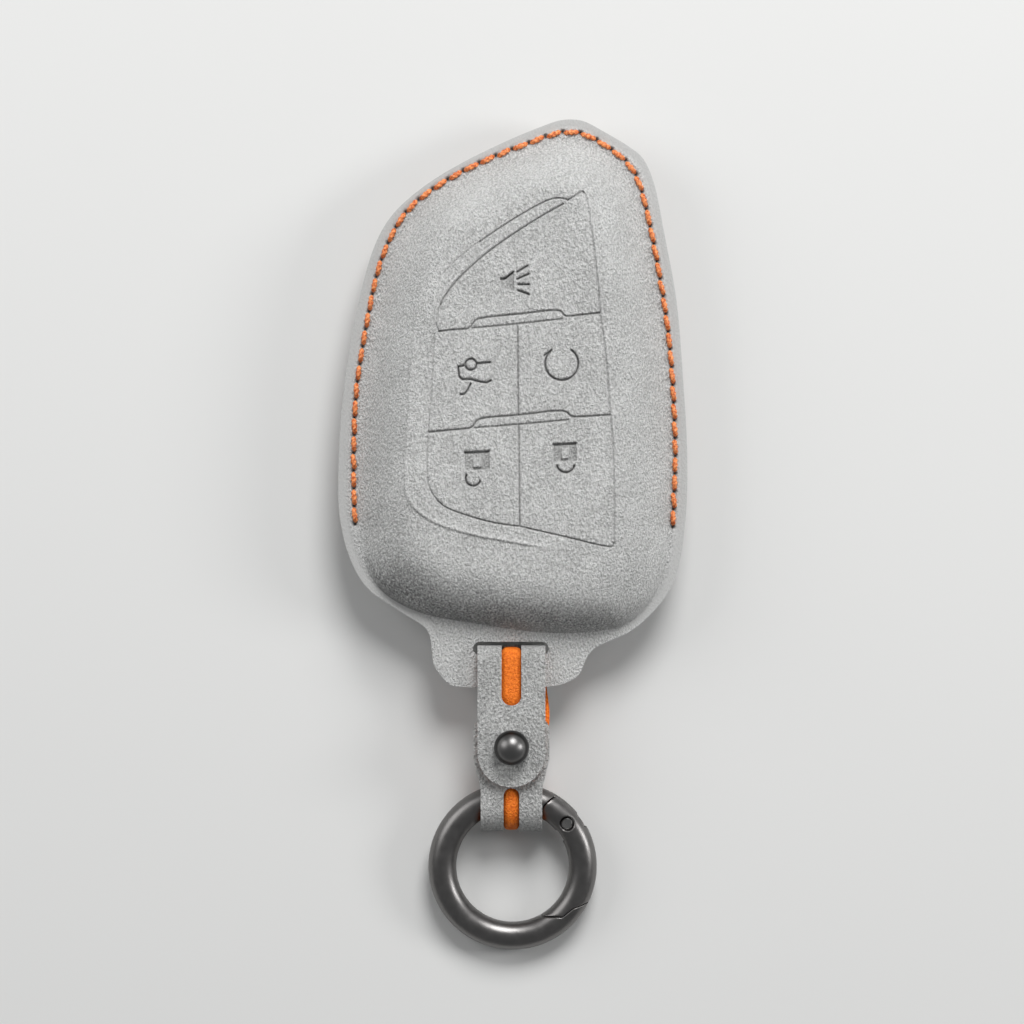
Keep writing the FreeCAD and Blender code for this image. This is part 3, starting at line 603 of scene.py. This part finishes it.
STITCH_PIXELS = [
    (355, 524), (353.6, 480), (354, 439), (356, 393), (362, 350), (370, 306), (378, 270), (388, 243),
    (405, 213), (431.5, 190), (465, 170), (499, 154.5), (530, 142.5), (552, 134.5), (567, 131.5), (584, 134),
    (600, 142), (614.5, 152), (626, 161), (636, 175), (645, 204), (658, 267), (669, 340), (674, 410),
    (675, 464), (672.6, 527),
]
STITCHES = 53
STITCH_LENGTH_SHARE = 0.9
STITCH_WIDTH = 0.86 * MM
STITCH_RISE = 0.72 * MM
STITCH_DROP = 0.75 * MM
STITCH_SLANT = math.radians(5)
STITCH_SIDES = 16
STITCH_RINGS = 20
ROUND_POWER = 3
DROP_POWER = 3.4
SEWING_SEED = 7
LENGTH_SPREAD = 0.035
SLANT_SPREAD = 0.6
PLY_DEPTH = 0.24
PLY_TURNS = 1.5
SEAM_DEPTH = 0.16 * MM
SEAM_REACH = 0.7 * MM
HOLE_DEPTH = 0.75 * MM
HOLE_REACH = 0.36 * MM
SEAM_REFINE = 1.2 * MM
HOLE_REFINE = 0.8 * MM
FLANGE_MARGIN = 0.05 * MM
THREAD_DARK = (0.5, 0.075, 0.012, 1)
THREAD_LIGHT = (0.97, 0.36, 0.12, 1)
PLY_LENGTH = 0.4 * MM
STRAND_LOW = 0.36
STRAND_HIGH = 0.64
THREAD_RELIEF = 0.1 * MM
FUZZ_STRENGTH = 0.35
THREAD_ROUGHNESS = 0.55


def waxed_thread():
    """Glossy twisted thread, in tones that vary at random along it."""
    material, add, shader = new_material("orange_thread")
    place = add("ShaderNodeTexCoord").outputs["Object"]
    fuzz = add("ShaderNodeTexNoise", {"Vector": place, "Scale": 1 / PLY_LENGTH, "Detail": 4.0})
    strands = add("ShaderNodeMapRange", {"Value": fuzz.outputs["Fac"],
                                         "From Min": STRAND_LOW, "From Max": STRAND_HIGH})
    strands = strands.outputs["Result"]
    tones = add("ShaderNodeMix", {"Factor": strands, "A": THREAD_DARK, "B": THREAD_LIGHT}, data_type="RGBA")
    relief = add("ShaderNodeBump", {"Height": fuzz.outputs["Fac"], "Strength": FUZZ_STRENGTH,
                                    "Distance": THREAD_RELIEF})
    give(shader, {"Base Color": tones.outputs["Result"], "Normal": relief.outputs["Normal"]})
    give(shader, {"Roughness": THREAD_ROUGHNESS})
    return material


def one_stitch(length):
    """A lens of two twisted plies along X, whose ends turn down."""
    ball = bpy.ops.mesh.primitive_uv_sphere_add
    stitch = fresh(ball, segments=STITCH_SIDES, ring_count=STITCH_RINGS, radius=1)
    for v in stitch.data.vertices:
        along, turn = v.co.z, math.atan2(v.co.y, v.co.x)
        full = (1 - abs(along) ** ROUND_POWER) ** 0.5
        ply = 1 + PLY_DEPTH * math.cos(2 * (turn - PLY_TURNS * math.pi * along))
        across, height = full * ply * math.cos(turn), full * ply * math.sin(turn)
        drop = STITCH_DROP * abs(along) ** DROP_POWER
        v.co = (along * length / 2, across * STITCH_WIDTH / 2, height * STITCH_RISE / 2 - drop)
    bpy.ops.object.shade_smooth()
    return stitch


def sew(name, level, side):
    """Row of stitches on one flange, each between two holes, joined into one piece."""
    places = from_photo(smooth_curve(STITCH_PIXELS, STITCHES + 1, closed=False), FRONT_LEVEL)
    row = []
    hand = np.random.default_rng(SEWING_SEED)
    for a, b in zip(places, places[1:]):
        reach = math.dist(a, b)
        stitch = one_stitch(reach * STITCH_LENGTH_SHARE * hand.normal(1, LENGTH_SPREAD))
        way = math.atan2(b[1] - a[1], b[0] - a[0]) + side * STITCH_SLANT * hand.normal(1, SLANT_SPREAD)
        lift = Matrix.Translation((*(a + b) / 2, level + side * STITCH_RISE / 4))
        turn = Matrix.Rotation(way, 4, "Z") @ Matrix.Diagonal((1, side, side, 1))
        stitch.data.transform(lift @ turn)
        row.append(stitch)
    bpy.ops.object.select_all(action="DESELECT")
    for stitch in row:
        stitch.select_set(True)
    bpy.context.view_layer.objects.active = row[0]
    bpy.ops.object.join()
    row[0].name = name
    row[0].data.materials.append(orange_thread)
    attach(row[0], "cover")
    return row[0], places


orange_thread = waxed_thread()
front_stitches, holes = sew("front_stitches", FRONT_LEVEL, 1)
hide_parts("front_thread")
back_stitches, holes = sew("back_stitches", SPLIT_Z - LEATHER, -1)
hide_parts("back_thread")
punched = [np.array([p, p]) for p in holes]
for panel, level, side in ((front_panel, FRONT_LEVEL, 1), (back_panel, SPLIT_Z - LEATHER, -1)):
    edge_level = level - side * FLANGE_MARGIN
    refine(panel, [holes], SEAM_REFINE, edge_level, side)
    refine(panel, punched, HOLE_REFINE, edge_level, side)
    press(panel, [holes], SEAM_DEPTH, SEAM_REACH, edge_level, side)
    # Painted shade fills the stitch holes
    press(panel, punched, HOLE_DEPTH, HOLE_REACH, edge_level - side * SEAM_DEPTH, side, recess_shade_amount=1.0)

# Finish of the sewn cover. The cut edge of the flange is rubbed smooth with a bone tool, which lays its nap
# flat, and the slopes at the lower left, which face away from the lamps, are marked for painted shade.

BURNISH_END = 2.1 * MM
BURNISH_FADE = 0.9 * MM
TAB_TOP = -46.5 * MM
TAB_FADE = 4.0 * MM
# Painted shade goes on the slopes that face this way, away from the lamps
SHADED_FACING = Vector((-0.5, -0.87, 0))
SLOPE_SHADE_FROM = 0.3
SLOPE_SHADE_FADE = 0.4


def mark(panel, name, amounts):
    """Keeps an amount from 0 to 1 with each point of a panel, for its suede."""
    marks = panel.data.attributes.new(name, "FLOAT", "POINT")
    marks.data.foreach_set("value", np.clip(amounts, 0, 1))


for panel in (front_panel, back_panel):
    flat = np.array([v.co[:2] for v in panel.data.vertices])
    above_tab = np.clip((flat[:, 1] - TAB_TOP) / TAB_FADE, 0, 1)
    off_edge = nearest([np.vstack([cover_edge, cover_edge[:1]])], flat)
    # Slopes facing away from the lamps are marked for painted shade
    facing_shade = np.array([v.normal.dot(SHADED_FACING) for v in panel.data.vertices])
    mark(panel, "burnish", np.minimum((BURNISH_END - off_edge) / BURNISH_FADE, 1) * above_tab)
    mark(panel, "painted_slope_shade", np.minimum((facing_shade - SLOPE_SHADE_FROM) / SLOPE_SHADE_FADE, 1) * above_tab)

# Strap: a strip of grey suede glued to an orange leather lining. It goes through both slots and over the
# bridge, down the back, round the ring and up again to a wider end that the stud comes through.

BRIDGE = Vector((-0.2 * MM, -51.25 * MM, SPLIT_Z))
STRAP_LEATHER = 1.0 * MM
STRAP_LINING = 0.44 * MM
STRAP_EDGE = 0.34 * MM
STRAP_EDGE_STEPS = 3
STRAP_SMOOTH_ANGLE = math.radians(45)
BACK_SHIFT = 0.75 * MM
BACK_REACH = 5.0 * MM
BACK_DROP = 8.0 * MM
FILL_SHARE = 0.95
FILL_RISE_SHARE = 0.72
FILL_POWER = 4
FLAP_END = -20.45 * MM
SLOT_RISE = 3.5 * MM
SLOT_RUN = 3.0 * MM
STUD_DROP = 13.4 * MM
NECK_HOLE = 1.7 * MM
SCREW_HOLE = 1.1 * MM
STRAP_HALF = 6.0 * MM
NECK_HALF = 5.45 * MM
PAD_HALF = 6.7 * MM
PAD_ROUND = 2.0 * MM
PAD_ROWS = 9
LOWER_INLAY_HALF = 1.4 * MM
LOWER_INLAY_TURN = 3.0 * MM
TAPER_START = 15.5 * MM
TAPER_END = 20.7 * MM
ARC_STEPS = 14
STRAP_ROUTE = [
    (FLAP_END, 2.55 * MM), (3.55 * MM, 2.55 * MM), (3.55 * MM, -2.55 * MM), (-3.9 * MM, -2.55 * MM),
    (-9.0 * MM, -1.0 * MM), (-16.7 * MM, -1.0 * MM), (-20.3 * MM, -6.6 * MM), (-27.585 * MM, -6.6 * MM),
    (-27.585 * MM, 0.9 * MM), (-8.3 * MM, 0.9 * MM),
]
BEND_RADII = [r * MM for r in (1.2, 1.2, 3.0, 3.0, 2.0, 2.0, 3.749, 3.749)]
ROW_STEP = 0.6 * MM
COLUMNS = 48
PUNCH_SIDES = 40
PUNCH_DEPTH = 6.0 * MM
SAME_PLACE = 0.001 * MM
STRAP_NAP_SIZE = 0.38 * MM
STRAP_NAP_RELIEF = 1.1 * MM
STRAP_DARK = (0.34, 0.34, 0.334, 1)
STRAP_LIGHT = (0.72, 0.72, 0.707, 1)
ORANGE_DARK = (0.72, 0.13, 0.008, 1)
ORANGE_LIGHT = (1.0, 0.26, 0.026, 1)
ORANGE_ROUGHNESS = 0.6
ORANGE_GLOSS = 0.25
PORE_SIZE = 0.42 * MM
PORE_RELIEF = 0.26 * MM
PORE_LOW = 0.34
PORE_HIGH = 0.66


def bent_route(points, radii):
    """Points and outward directions along a route in the strap's side view, with its corners rounded."""
    points = [np.array(p) for p in points]
    places, outs = [points[0]], []
    runs = [(b - a) / np.linalg.norm(b - a) for a, b in zip(points, points[1:])]
    outs.append(np.array((-runs[0][1], runs[0][0])))
    for corner, a, b, radius in zip(points[1:-1], runs, runs[1:], radii):
        turn = math.atan2(a[0] * b[1] - a[1] * b[0], a @ b)
        left = np.array((-a[1], a[0]))
        start = corner - a * (radius * math.tan(abs(turn) / 2))
        for share in np.linspace(0, 1, ARC_STEPS + 1):
            bend = abs(turn) * share
            rise = radius * (1 - math.cos(bend)) * math.copysign(1, turn)
            places.append(start + a * (radius * math.sin(bend)) + left * rise)
            outs.append(left * math.cos(turn * share) - a * math.sin(turn * share))
    places.append(points[-1])
    outs.append(np.array((-runs[-1][1], runs[-1][0])))
    return np.array(places), np.array(outs)


route, route_out = bent_route(STRAP_ROUTE, BEND_RADII)
route_run = np.concatenate([[0], np.cumsum(np.linalg.norm(np.diff(route, axis=0), axis=1))])


def run_to(drop, layer):
    """Run along the strap to a drop below the bridge, in layer 0, the flap, 1, the back, or -1, the end."""
    below = route[:, 0] + drop
    i = np.nonzero(below[:-1] * below[1:] <= 0)[0][layer]
    share = below[i] / (below[i] - below[i + 1])
    return route_run[i] + share * (route_run[i + 1] - route_run[i])


back_middle = run_to(BACK_DROP, 1)


def bend_along(obj):
    """Lays a flat strip along the route: X across, Y the run, Z the height over the glue line."""
    co = np.array([v.co for v in obj.data.vertices])
    at = [np.interp(co[:, 1], route_run, values) for values in (*route.T, *route_out.T)]
    size = np.hypot(at[2], at[3])
    y, z = at[0] + co[:, 2] * at[2] / size, at[1] + co[:, 2] * at[3] / size
    drift = BACK_SHIFT * np.exp(-(((co[:, 1] - back_middle) / BACK_REACH) ** 2))
    laid = np.column_stack([co[:, 0] + drift, y, z]) + np.array(BRIDGE)
    obj.data.vertices.foreach_set("co", laid.ravel())
    obj.data.update()


def join_points():
    """Joins the points of the active piece that share a place."""
    bpy.ops.object.mode_set(mode="EDIT")
    bpy.ops.mesh.select_all(action="SELECT")
    bpy.ops.mesh.remove_doubles(threshold=SAME_PLACE)
    bpy.ops.object.mode_set(mode="OBJECT")


def flat_strip(name, runs, half_at, low, high):
    """Flat strip of leather from a grid, with its half width given along its run."""
    grid = bpy.ops.mesh.primitive_grid_add
    strip = fresh(grid, x_subdivisions=COLUMNS, y_subdivisions=len(runs) - 1, size=2)
    strip.name = name
    for v in strip.data.vertices:
        run = runs[round((v.co.y + 1) / 2 * (len(runs) - 1))]
        v.co = (v.co.x * half_at(run), run, high)
    wall = strip.modifiers.new("leather", "SOLIDIFY")
    wall.thickness = high - low
    wall.offset = -1
    apply_all(strip)
    join_points()
    return strip


def window_cutter(half, start, end):
    """Round ended cutter for a window in a flat strip, between two runs."""
    round_bar = bpy.ops.mesh.primitive_cylinder_add
    bar = fresh(round_bar, vertices=PUNCH_SIDES, radius=half, depth=PUNCH_DEPTH)
    for v in bar.data.vertices:
        v.co.y += end - half if v.co.y > 0 else start + half
    return bar


def hole_cutter(radius, run):
    """Round cutter for a hole in the middle of a flat strip."""
    return window_cutter(radius, run - radius, run + radius)


def fill_window(strip, half, start, end):
    """Raises a lining into the window over it, with round shoulders."""
    for v in strip.data.vertices:
        along = max(start + half - v.co.y, v.co.y - end + half, 0)
        across = math.hypot(v.co.x, along) / (half * FILL_SHARE)
        if v.co.z > -STRAP_LINING / 2 and across < 1:
            v.co.z += STRAP_LEATHER * FILL_RISE_SHARE * (1 - across**FILL_POWER) ** 0.5


def finish_strip(strip, cutters, rounding):
    """Cuts windows and holes into a flat strip, rounds its edges and bends it along the route."""
    cut_and_round(strip, cutters, rounding, STRAP_EDGE_STEPS)
    bend_along(strip)
    shade(strip, STRAP_SMOOTH_ANGLE)


def rows(start, end, fine=()):
    """Runs of the cross rows of a strip, with finer ones where they are given."""
    count = max(2, round((end - start) / ROW_STEP))
    return np.unique(np.concatenate([np.linspace(start, end, count + 1), fine]))


def stud_holes():
    """Cutters for the stud's neck in the strap's end and for its screw in the back."""
    return [hole_cutter(NECK_HOLE, run_to(STUD_DROP, -1)), hole_cutter(SCREW_HOLE, run_to(STUD_DROP, 1))]


def strap_half(run):
    """Half width of the strap: even at the back, drawn in at the ring and wider at its end."""
    drop = -np.interp(run, route_run, route[:, 0])
    wide = PAD_HALF if run > fold_run else STRAP_HALF
    half = np.interp(drop, (TAPER_START, TAPER_END), (wide, NECK_HALF))
    left = route_run[-1] - run
    if left < PAD_ROUND:
        half -= PAD_ROUND - math.sqrt(max(PAD_ROUND**2 - (PAD_ROUND - left) ** 2, 0))
    return half


def grained_leather(name, dark, light):
    """Smooth dyed leather with fine pores and a low sheen."""
    material, add, shader = new_material(name)
    place = add("ShaderNodeTexCoord").outputs["Object"]
    pores = add("ShaderNodeTexVoronoi", {"Vector": place, "Scale": 1 / PORE_SIZE}, feature="DISTANCE_TO_EDGE")
    wear = add("ShaderNodeTexNoise", {"Vector": place, "Scale": 1 / PORE_SIZE, "Detail": 3.0})
    wear = wear.outputs["Fac"]
    spread = add("ShaderNodeMapRange", {"Value": wear, "From Min": PORE_LOW, "From Max": PORE_HIGH})
    spread = spread.outputs["Result"]
    tones = add("ShaderNodeMix", {"Factor": spread, "A": dark, "B": light}, data_type="RGBA")
    pores = pores.outputs["Distance"]
    relief = add("ShaderNodeBump", {"Height": pores, "Strength": 1.0, "Distance": PORE_RELIEF})
    give(shader, {"Base Color": tones.outputs["Result"], "Normal": relief.outputs["Normal"]})
    give(shader, {"Roughness": ORANGE_ROUGHNESS, "Specular IOR Level": ORANGE_GLOSS})
    return material


coarse_suede = suede("coarse_suede", STRAP_DARK, STRAP_LIGHT, STRAP_NAP_SIZE, STRAP_NAP_RELIEF)
orange_leather = grained_leather("orange_leather", ORANGE_DARK, ORANGE_LIGHT)
fold_run = route_run[np.argmin(route[:, 0])]
slot_run = run_to(-SLOT_RISE, 0) + SLOT_RUN
strap_end = route_run[-1]
pad_rows = strap_end - PAD_ROUND * (1 - np.cos(np.linspace(0, math.pi / 2, PAD_ROWS)))
strap_rows = rows(slot_run, strap_end, pad_rows)
lower_inlay = run_to(TAPER_END, -1)
strap_suede = flat_strip("strap_suede", strap_rows, strap_half, 0, STRAP_LEATHER)
window = window_cutter(LOWER_INLAY_HALF, fold_run - LOWER_INLAY_TURN, lower_inlay)
finish_strip(strap_suede, [window] + stud_holes(), STRAP_EDGE)
strap_suede.data.materials.append(coarse_suede)
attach(strap_suede, "strap")
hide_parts("strap_leather")
strap_orange = flat_strip("strap_orange", strap_rows, strap_half, -STRAP_LINING, 0)
fill_window(strap_orange, LOWER_INLAY_HALF, fold_run - LOWER_INLAY_TURN, lower_inlay)
finish_strip(strap_orange, stud_holes(), STRAP_EDGE / 2)
strap_orange.data.materials.append(orange_leather)
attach(strap_orange, "strap")
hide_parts("strap_lining")

# Flap: the free end of the same strap. It lies over the bridge and the strap's other end, and its round
# tip buttons over the stud. A window in the suede shows a bar of the orange lining.

FLAP_ROUND = STRAP_HALF
INLAY_HALF = 1.75 * MM
INLAY_FOOT = 6.05 * MM
INLAY_OVERRUN = 4.0 * MM
LINING_SHARE = 0.93
TIP_ROWS = 25


def flap_half(run):
    """Half width of the flap: even, with a round tip."""
    if run >= FLAP_ROUND:
        return STRAP_HALF
    return math.sqrt(max(FLAP_ROUND**2 - (FLAP_ROUND - run) ** 2, 0))


def flap_lining_half(run):
    """Half width of the flap's lining, which stays inside the edge of the suede."""
    return flap_half(run) * LINING_SHARE


tip_rows = FLAP_ROUND * (1 - np.cos(np.linspace(0, math.pi / 2, TIP_ROWS)))
flap_rows = np.unique(np.concatenate([tip_rows, rows(FLAP_ROUND, slot_run)]))
inlay_start = -FLAP_END - INLAY_FOOT
flap_suede = flat_strip("flap_suede", flap_rows, flap_half, 0, STRAP_LEATHER)
window = window_cutter(INLAY_HALF, inlay_start, slot_run + INLAY_OVERRUN)
finish_strip(flap_suede, [window, hole_cutter(NECK_HOLE, run_to(STUD_DROP, 0))], STRAP_EDGE)
flap_suede.data.materials.append(coarse_suede)
flap_orange = flat_strip("flap_orange", flap_rows, flap_lining_half, -STRAP_LINING, 0)
fill_window(flap_orange, INLAY_HALF, inlay_start, slot_run + INLAY_OVERRUN)
finish_strip(flap_orange, [hole_cutter(NECK_HOLE, run_to(STUD_DROP, 0))], STRAP_EDGE / 2)
flap_orange.data.materials.append(orange_leather)
flap_layers = [
    (flap_suede, "flap_leather", "grey_suede"),
    (flap_orange, "flap_lining", "orange_leather"),
]
for layer, node, slot in flap_layers:
    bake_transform(layer)
    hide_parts(node)

# Ball stud and its screw: turned brass, plated gunmetal and polished. The stud's flange sits inside the
# strap's loop, its neck comes up through the pad and the flap, and a slotted screw holds it from behind.

STUD_SPOT = (-0.2 * MM, -64.65 * MM)
STUD_PROFILE = [
    (0.0, 16.15), (0.62, 16.09), (1.2, 15.91), (1.75, 15.61), (2.24, 15.19), (2.62, 14.71), (2.88, 14.2),
    (3.04, 13.65), (3.1, 13.05), (3.04, 12.46), (2.86, 11.86), (2.62, 11.5), (2.3, 11.36), (1.75, 11.32),
    (1.6, 11.2), (1.6, 8.1), (1.72, 8.02), (3.3, 8.0), (3.5, 7.85), (3.5, 7.45), (3.35, 7.3), (0.0, 7.3),
]
STUD_SIDES = 72
STUD_SMOOTH_ANGLE = math.radians(40)
# Painted light on the ball: near black sides for painted dark reflections, a lighter crown for a painted
# highlight
STUD_SHADED_SIDE = (0.03, 0.029, 0.028, 1)
STUD_LIT_CROWN = (0.18, 0.177, 0.174, 1)
STUD_GLOSS = (0.34, 0.4)
PAINTED_SHADE_TOP = 14.75 * MM
PAINTED_LIGHT_FOOT = 15.15 * MM
SCREW_DARK = (0.30, 0.295, 0.29, 1)
SCREW_LIGHT = (0.40, 0.395, 0.385, 1)
SCREW_GLOSS = (0.25, 0.36)
POLISH_SIZE = 1.6 * MM
POLISH_LOW = 0.3
POLISH_HIGH = 0.7
POLISH_RELIEF = 0.05 * MM
POLISH_STRENGTH = 0.04


def plated(name, dark, light, gloss_range):
    """Plated metal with the faint clouds that tumbling leaves in its gloss."""
    material, add, shader = new_material(name)
    place = add("ShaderNodeTexCoord").outputs["Object"]
    cloud = add("ShaderNodeTexNoise", {"Vector": place, "Scale": 1 / POLISH_SIZE, "Detail": 5.0,
                                       "Roughness": 0.6})
    cloud = cloud.outputs["Fac"]
    tones = add("ShaderNodeMix", {"Factor": cloud, "A": dark, "B": light}, data_type="RGBA")
    gloss = add("ShaderNodeMapRange", {"Value": cloud, "From Min": POLISH_LOW, "From Max": POLISH_HIGH,
                                       "To Min": gloss_range[0], "To Max": gloss_range[1]})
    relief = add("ShaderNodeBump", {"Height": cloud, "Strength": POLISH_STRENGTH, "Distance": POLISH_RELIEF})
    give(shader, {"Base Color": tones.outputs["Result"], "Normal": relief.outputs["Normal"]})
    give(shader, {"Roughness": gloss.outputs["Result"], "Metallic": 1.0})
    return material


def turned(name, spot, profile, steps):
    """Turned piece: a profile of radius and height, spun about an upright axis and closed."""
    piece = fresh(bpy.ops.mesh.primitive_circle_add, vertices=len(profile), radius=MM)
    piece.name = name
    shape = bmesh.new()
    points = [shape.verts.new((r * MM, 0, z * MM)) for r, z in profile]
    for a, b in zip(points, points[1:]):
        shape.edges.new((a, b))
    shape.to_mesh(piece.data)
    shape.free()
    bpy.ops.object.mode_set(mode="EDIT")
    bpy.ops.mesh.select_all(action="SELECT")
    bpy.ops.mesh.spin(steps=steps, angle=2 * math.pi, center=(0, 0, 0), axis=(0, 0, 1))
    bpy.ops.mesh.select_all(action="SELECT")
    bpy.ops.mesh.remove_doubles(threshold=SAME_PLACE)
    bpy.ops.mesh.normals_make_consistent(inside=False)
    bpy.ops.transform.translate(value=(*spot, 0))
    bpy.ops.object.mode_set(mode="OBJECT")
    bpy.ops.object.shade_smooth_by_angle(angle=STUD_SMOOTH_ANGLE)
    return piece


def coat(node, material):
    """Gives a CAD node's own object a material."""
    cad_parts[node].data.materials.clear()
    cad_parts[node].data.materials.append(material)


def painted_light_plate(name):
    """Dark gunmetal plating with painted light: near black on the ball's sides, lighter on its crown."""
    material, add, shader = new_material(name)
    place = add("ShaderNodeTexCoord").outputs["Object"]
    cloud = add("ShaderNodeTexNoise", {"Vector": place, "Scale": 1 / POLISH_SIZE, "Detail": 5.0})
    height = add("ShaderNodeSeparateXYZ", {"Vector": place}).outputs["Z"]
    # Painted light: colour runs from near black below to lighter on top of the ball
    lit_share = add("ShaderNodeMapRange", {"Value": height, "From Min": PAINTED_SHADE_TOP, "From Max": PAINTED_LIGHT_FOOT})
    lit_share = lit_share.outputs["Result"]
    tones = add("ShaderNodeMix", {"Factor": lit_share, "A": STUD_SHADED_SIDE, "B": STUD_LIT_CROWN}, data_type="RGBA")
    gloss = add("ShaderNodeMapRange", {"Value": cloud.outputs["Fac"],
                                       "From Min": POLISH_LOW, "From Max": POLISH_HIGH,
                                       "To Min": STUD_GLOSS[0], "To Max": STUD_GLOSS[1]})
    give(shader, {"Base Color": tones.outputs["Result"], "Roughness": gloss.outputs["Result"]})
    give(shader, {"Metallic": 1.0})
    return material


stud_painted_light = painted_light_plate("stud_metal")
stud = turned("stud", STUD_SPOT, STUD_PROFILE, STUD_SIDES)
stud.data.materials.append(stud_painted_light)
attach(stud, "strap")
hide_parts("ball_stud")
coat("stud_screw", plated("screw_plate", SCREW_DARK, SCREW_LIGHT, SCREW_GLOSS))

# Spring gate ring: cast zinc, plated dark gunmetal and satin finished. The gate turns on a riveted pin in
# the fork of its root, and a small coil spring in its bore keeps the lapped nose shut.

CAST_GRAIN = 0.13 * MM
TUMBLE_PASSES = 10
PLATE_DARK = (0.16, 0.155, 0.152, 1)
PLATE_LIGHT = (0.22, 0.213, 0.208, 1)
PLATE_GLOSS = (0.32, 0.4)
PIN_GLOSS = (0.2, 0.3)
STEEL_DARK = (0.42, 0.42, 0.42, 1)
STEEL_LIGHT = (0.55, 0.55, 0.54, 1)
STEEL_GLOSS = (0.25, 0.4)


def merged(name, node, material):
    """A copy of a CAD piece whose faces are joined, in its own material."""
    piece = bpy.data.objects.new(name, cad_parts[node].data.copy())
    bpy.context.scene.collection.objects.link(piece)
    bpy.ops.object.select_all(action="DESELECT")
    piece.select_set(True)
    bpy.context.view_layer.objects.active = piece
    join_points()
    piece.data.materials.clear()
    piece.data.materials.append(material)
    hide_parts(node)
    return piece


def tumbled(name, node):
    """A cast piece as one skin of its CAD shape, with the soft edges that tumbling leaves."""
    piece = merged(name, node, gunmetal)
    skin = piece.modifiers.new("skin", "REMESH")
    skin.mode = "VOXEL"
    skin.voxel_size = CAST_GRAIN
    worn = piece.modifiers.new("worn", "SMOOTH")
    worn.factor = 0.5
    worn.iterations = TUMBLE_PASSES
    apply_all(piece)
    bpy.ops.object.shade_smooth()
    return piece


gunmetal = plated("gunmetal", PLATE_DARK, PLATE_LIGHT, PLATE_GLOSS)
pin_plate = plated("pin_plate", SCREW_DARK, SCREW_LIGHT, PIN_GLOSS)
spring_steel = plated("spring_steel", STEEL_DARK, STEEL_LIGHT, STEEL_GLOSS)
ring = tumbled("ring", "ring_body")
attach(ring, "ring")
gate = tumbled("gate", "ring_gate")
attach(gate, "gate")
coat("gate_pin", pin_plate)
spring = merged("spring", "gate_spring", spring_steel)
bpy.ops.object.shade_smooth()
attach(spring, "gate")
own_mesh(spring)

# Linings: a thin brushed cloth glued inside each swelling, so that the key isn't scratched. Each is pressed
# on the same mould as its panel, and its edge stops short of the seam.

LINING = 0.5 * MM
LINING_INSET = 2.0 * MM
LINING_EDGE = 0.1 * MM
GLUE = 0.1 * MM
LINING_DARK = (0.055, 0.055, 0.058, 1)
LINING_LIGHT = (0.10, 0.10, 0.105, 1)
CLOTHS = [
    ("front_cloth", "front_lining", 1, FRONT_RISE, FRONT_SLOPE),
    ("back_cloth", "back_lining", -1, BACK_DEPTH, BACK_SLOPE),
]

pocket_lining = suede("pocket_lining", LINING_DARK, LINING_LIGHT, NAP_SIZE, NAP_RELIEF)
foot = smooth_curve(COVER_SIZE * SWELL_SHARES, EDGE_POINTS)
lining_edge = swell_middle + (foot - swell_middle) * (1 - LINING_INSET / swell_half)
for name, node, side, rise, slope in CLOTHS:
    level = SPLIT_Z + side * GLUE
    climb = side * (rise - 2 * GLUE)
    cloth = moulded_panel(name, lining_edge, 0, level, climb, slope - LINING_INSET, LINING_INSET)
    finish_panel(cloth, [], LINING, LINING_EDGE)
    cloth.data.materials.append(pocket_lining)
    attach(cloth, "cover")
    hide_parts(node)

# Floor, light and camera. The cover lies on a pale matt floor under a broad soft lamp above its top, with
# weaker ones at the right and the left, and the camera looks straight down on it as in the photograph.

FLOOR_SIZE = 6000 * MM
FLOOR_PALE = (0.72, 0.72, 0.71, 1)
FLOOR_WARM = (0.69, 0.69, 0.68, 1)
FLOOR_ROUGHNESS = 0.85
FLOOR_CLOUDS = 4.0
WORLD_GREY = (0.62, 0.63, 0.64, 1)
WORLD_STRENGTH = 0.32
SENSOR_WIDTH = 36.0
CLIP_START = 10.0 * MM
LAMP_AIM = Vector((0, -20.0 * MM, 0))
LAMPS = [
    ("key_lamp", (150, 640, 640), 460, 7.4),
    ("right_lamp", (760, 60, 420), 260, 2.4),
    ("side_lamp", (-560, 240, 420), 520, 1.7),
]

floor = fresh(bpy.ops.mesh.primitive_grid_add, size=FLOOR_SIZE, x_subdivisions=4, y_subdivisions=4)
floor.name = "floor"
paper, add, shader = new_material("floor_paper")
place = add("ShaderNodeTexCoord").outputs["Object"]
cloud = add("ShaderNodeTexNoise", {"Vector": place, "Scale": FLOOR_CLOUDS, "Detail": 3.0})
cloud = cloud.outputs["Fac"]
tones = add("ShaderNodeMix", {"Factor": cloud, "A": FLOOR_WARM, "B": FLOOR_PALE}, data_type="RGBA")
give(shader, {"Base Color": tones.outputs["Result"], "Roughness": FLOOR_ROUGHNESS})
floor.data.materials.append(paper)

for name, spot, size, watts in LAMPS:
    lamp = bpy.data.lights.new(name, "AREA")
    lamp.shape = "DISK"
    lamp.size = size * MM
    lamp.energy = watts
    holder = bpy.data.objects.new(name, lamp)
    holder.location = Vector(spot) * MM
    holder.rotation_euler = (LAMP_AIM - holder.location).to_track_quat("-Z", "Y").to_euler()
    bpy.context.scene.collection.objects.link(holder)

world = bpy.data.worlds.new("studio")
world.use_nodes = True
give(world.node_tree.nodes["Background"], {"Color": WORLD_GREY, "Strength": WORLD_STRENGTH})
bpy.context.scene.world = world
bpy.context.scene.view_settings.view_transform = "Standard"

camera = bpy.data.cameras.new("camera")
camera.sensor_width = SENSOR_WIDTH
camera.lens = SENSOR_WIDTH * (CAMERA_HEIGHT - FOCUS_LEVEL) / FRAME_WIDTH
camera.clip_start = CLIP_START
viewer = bpy.data.objects.new("camera", camera)
viewer.location = (*CAMERA_SPOT, CAMERA_HEIGHT)
bpy.context.scene.collection.objects.link(viewer)
bpy.context.scene.camera = viewer
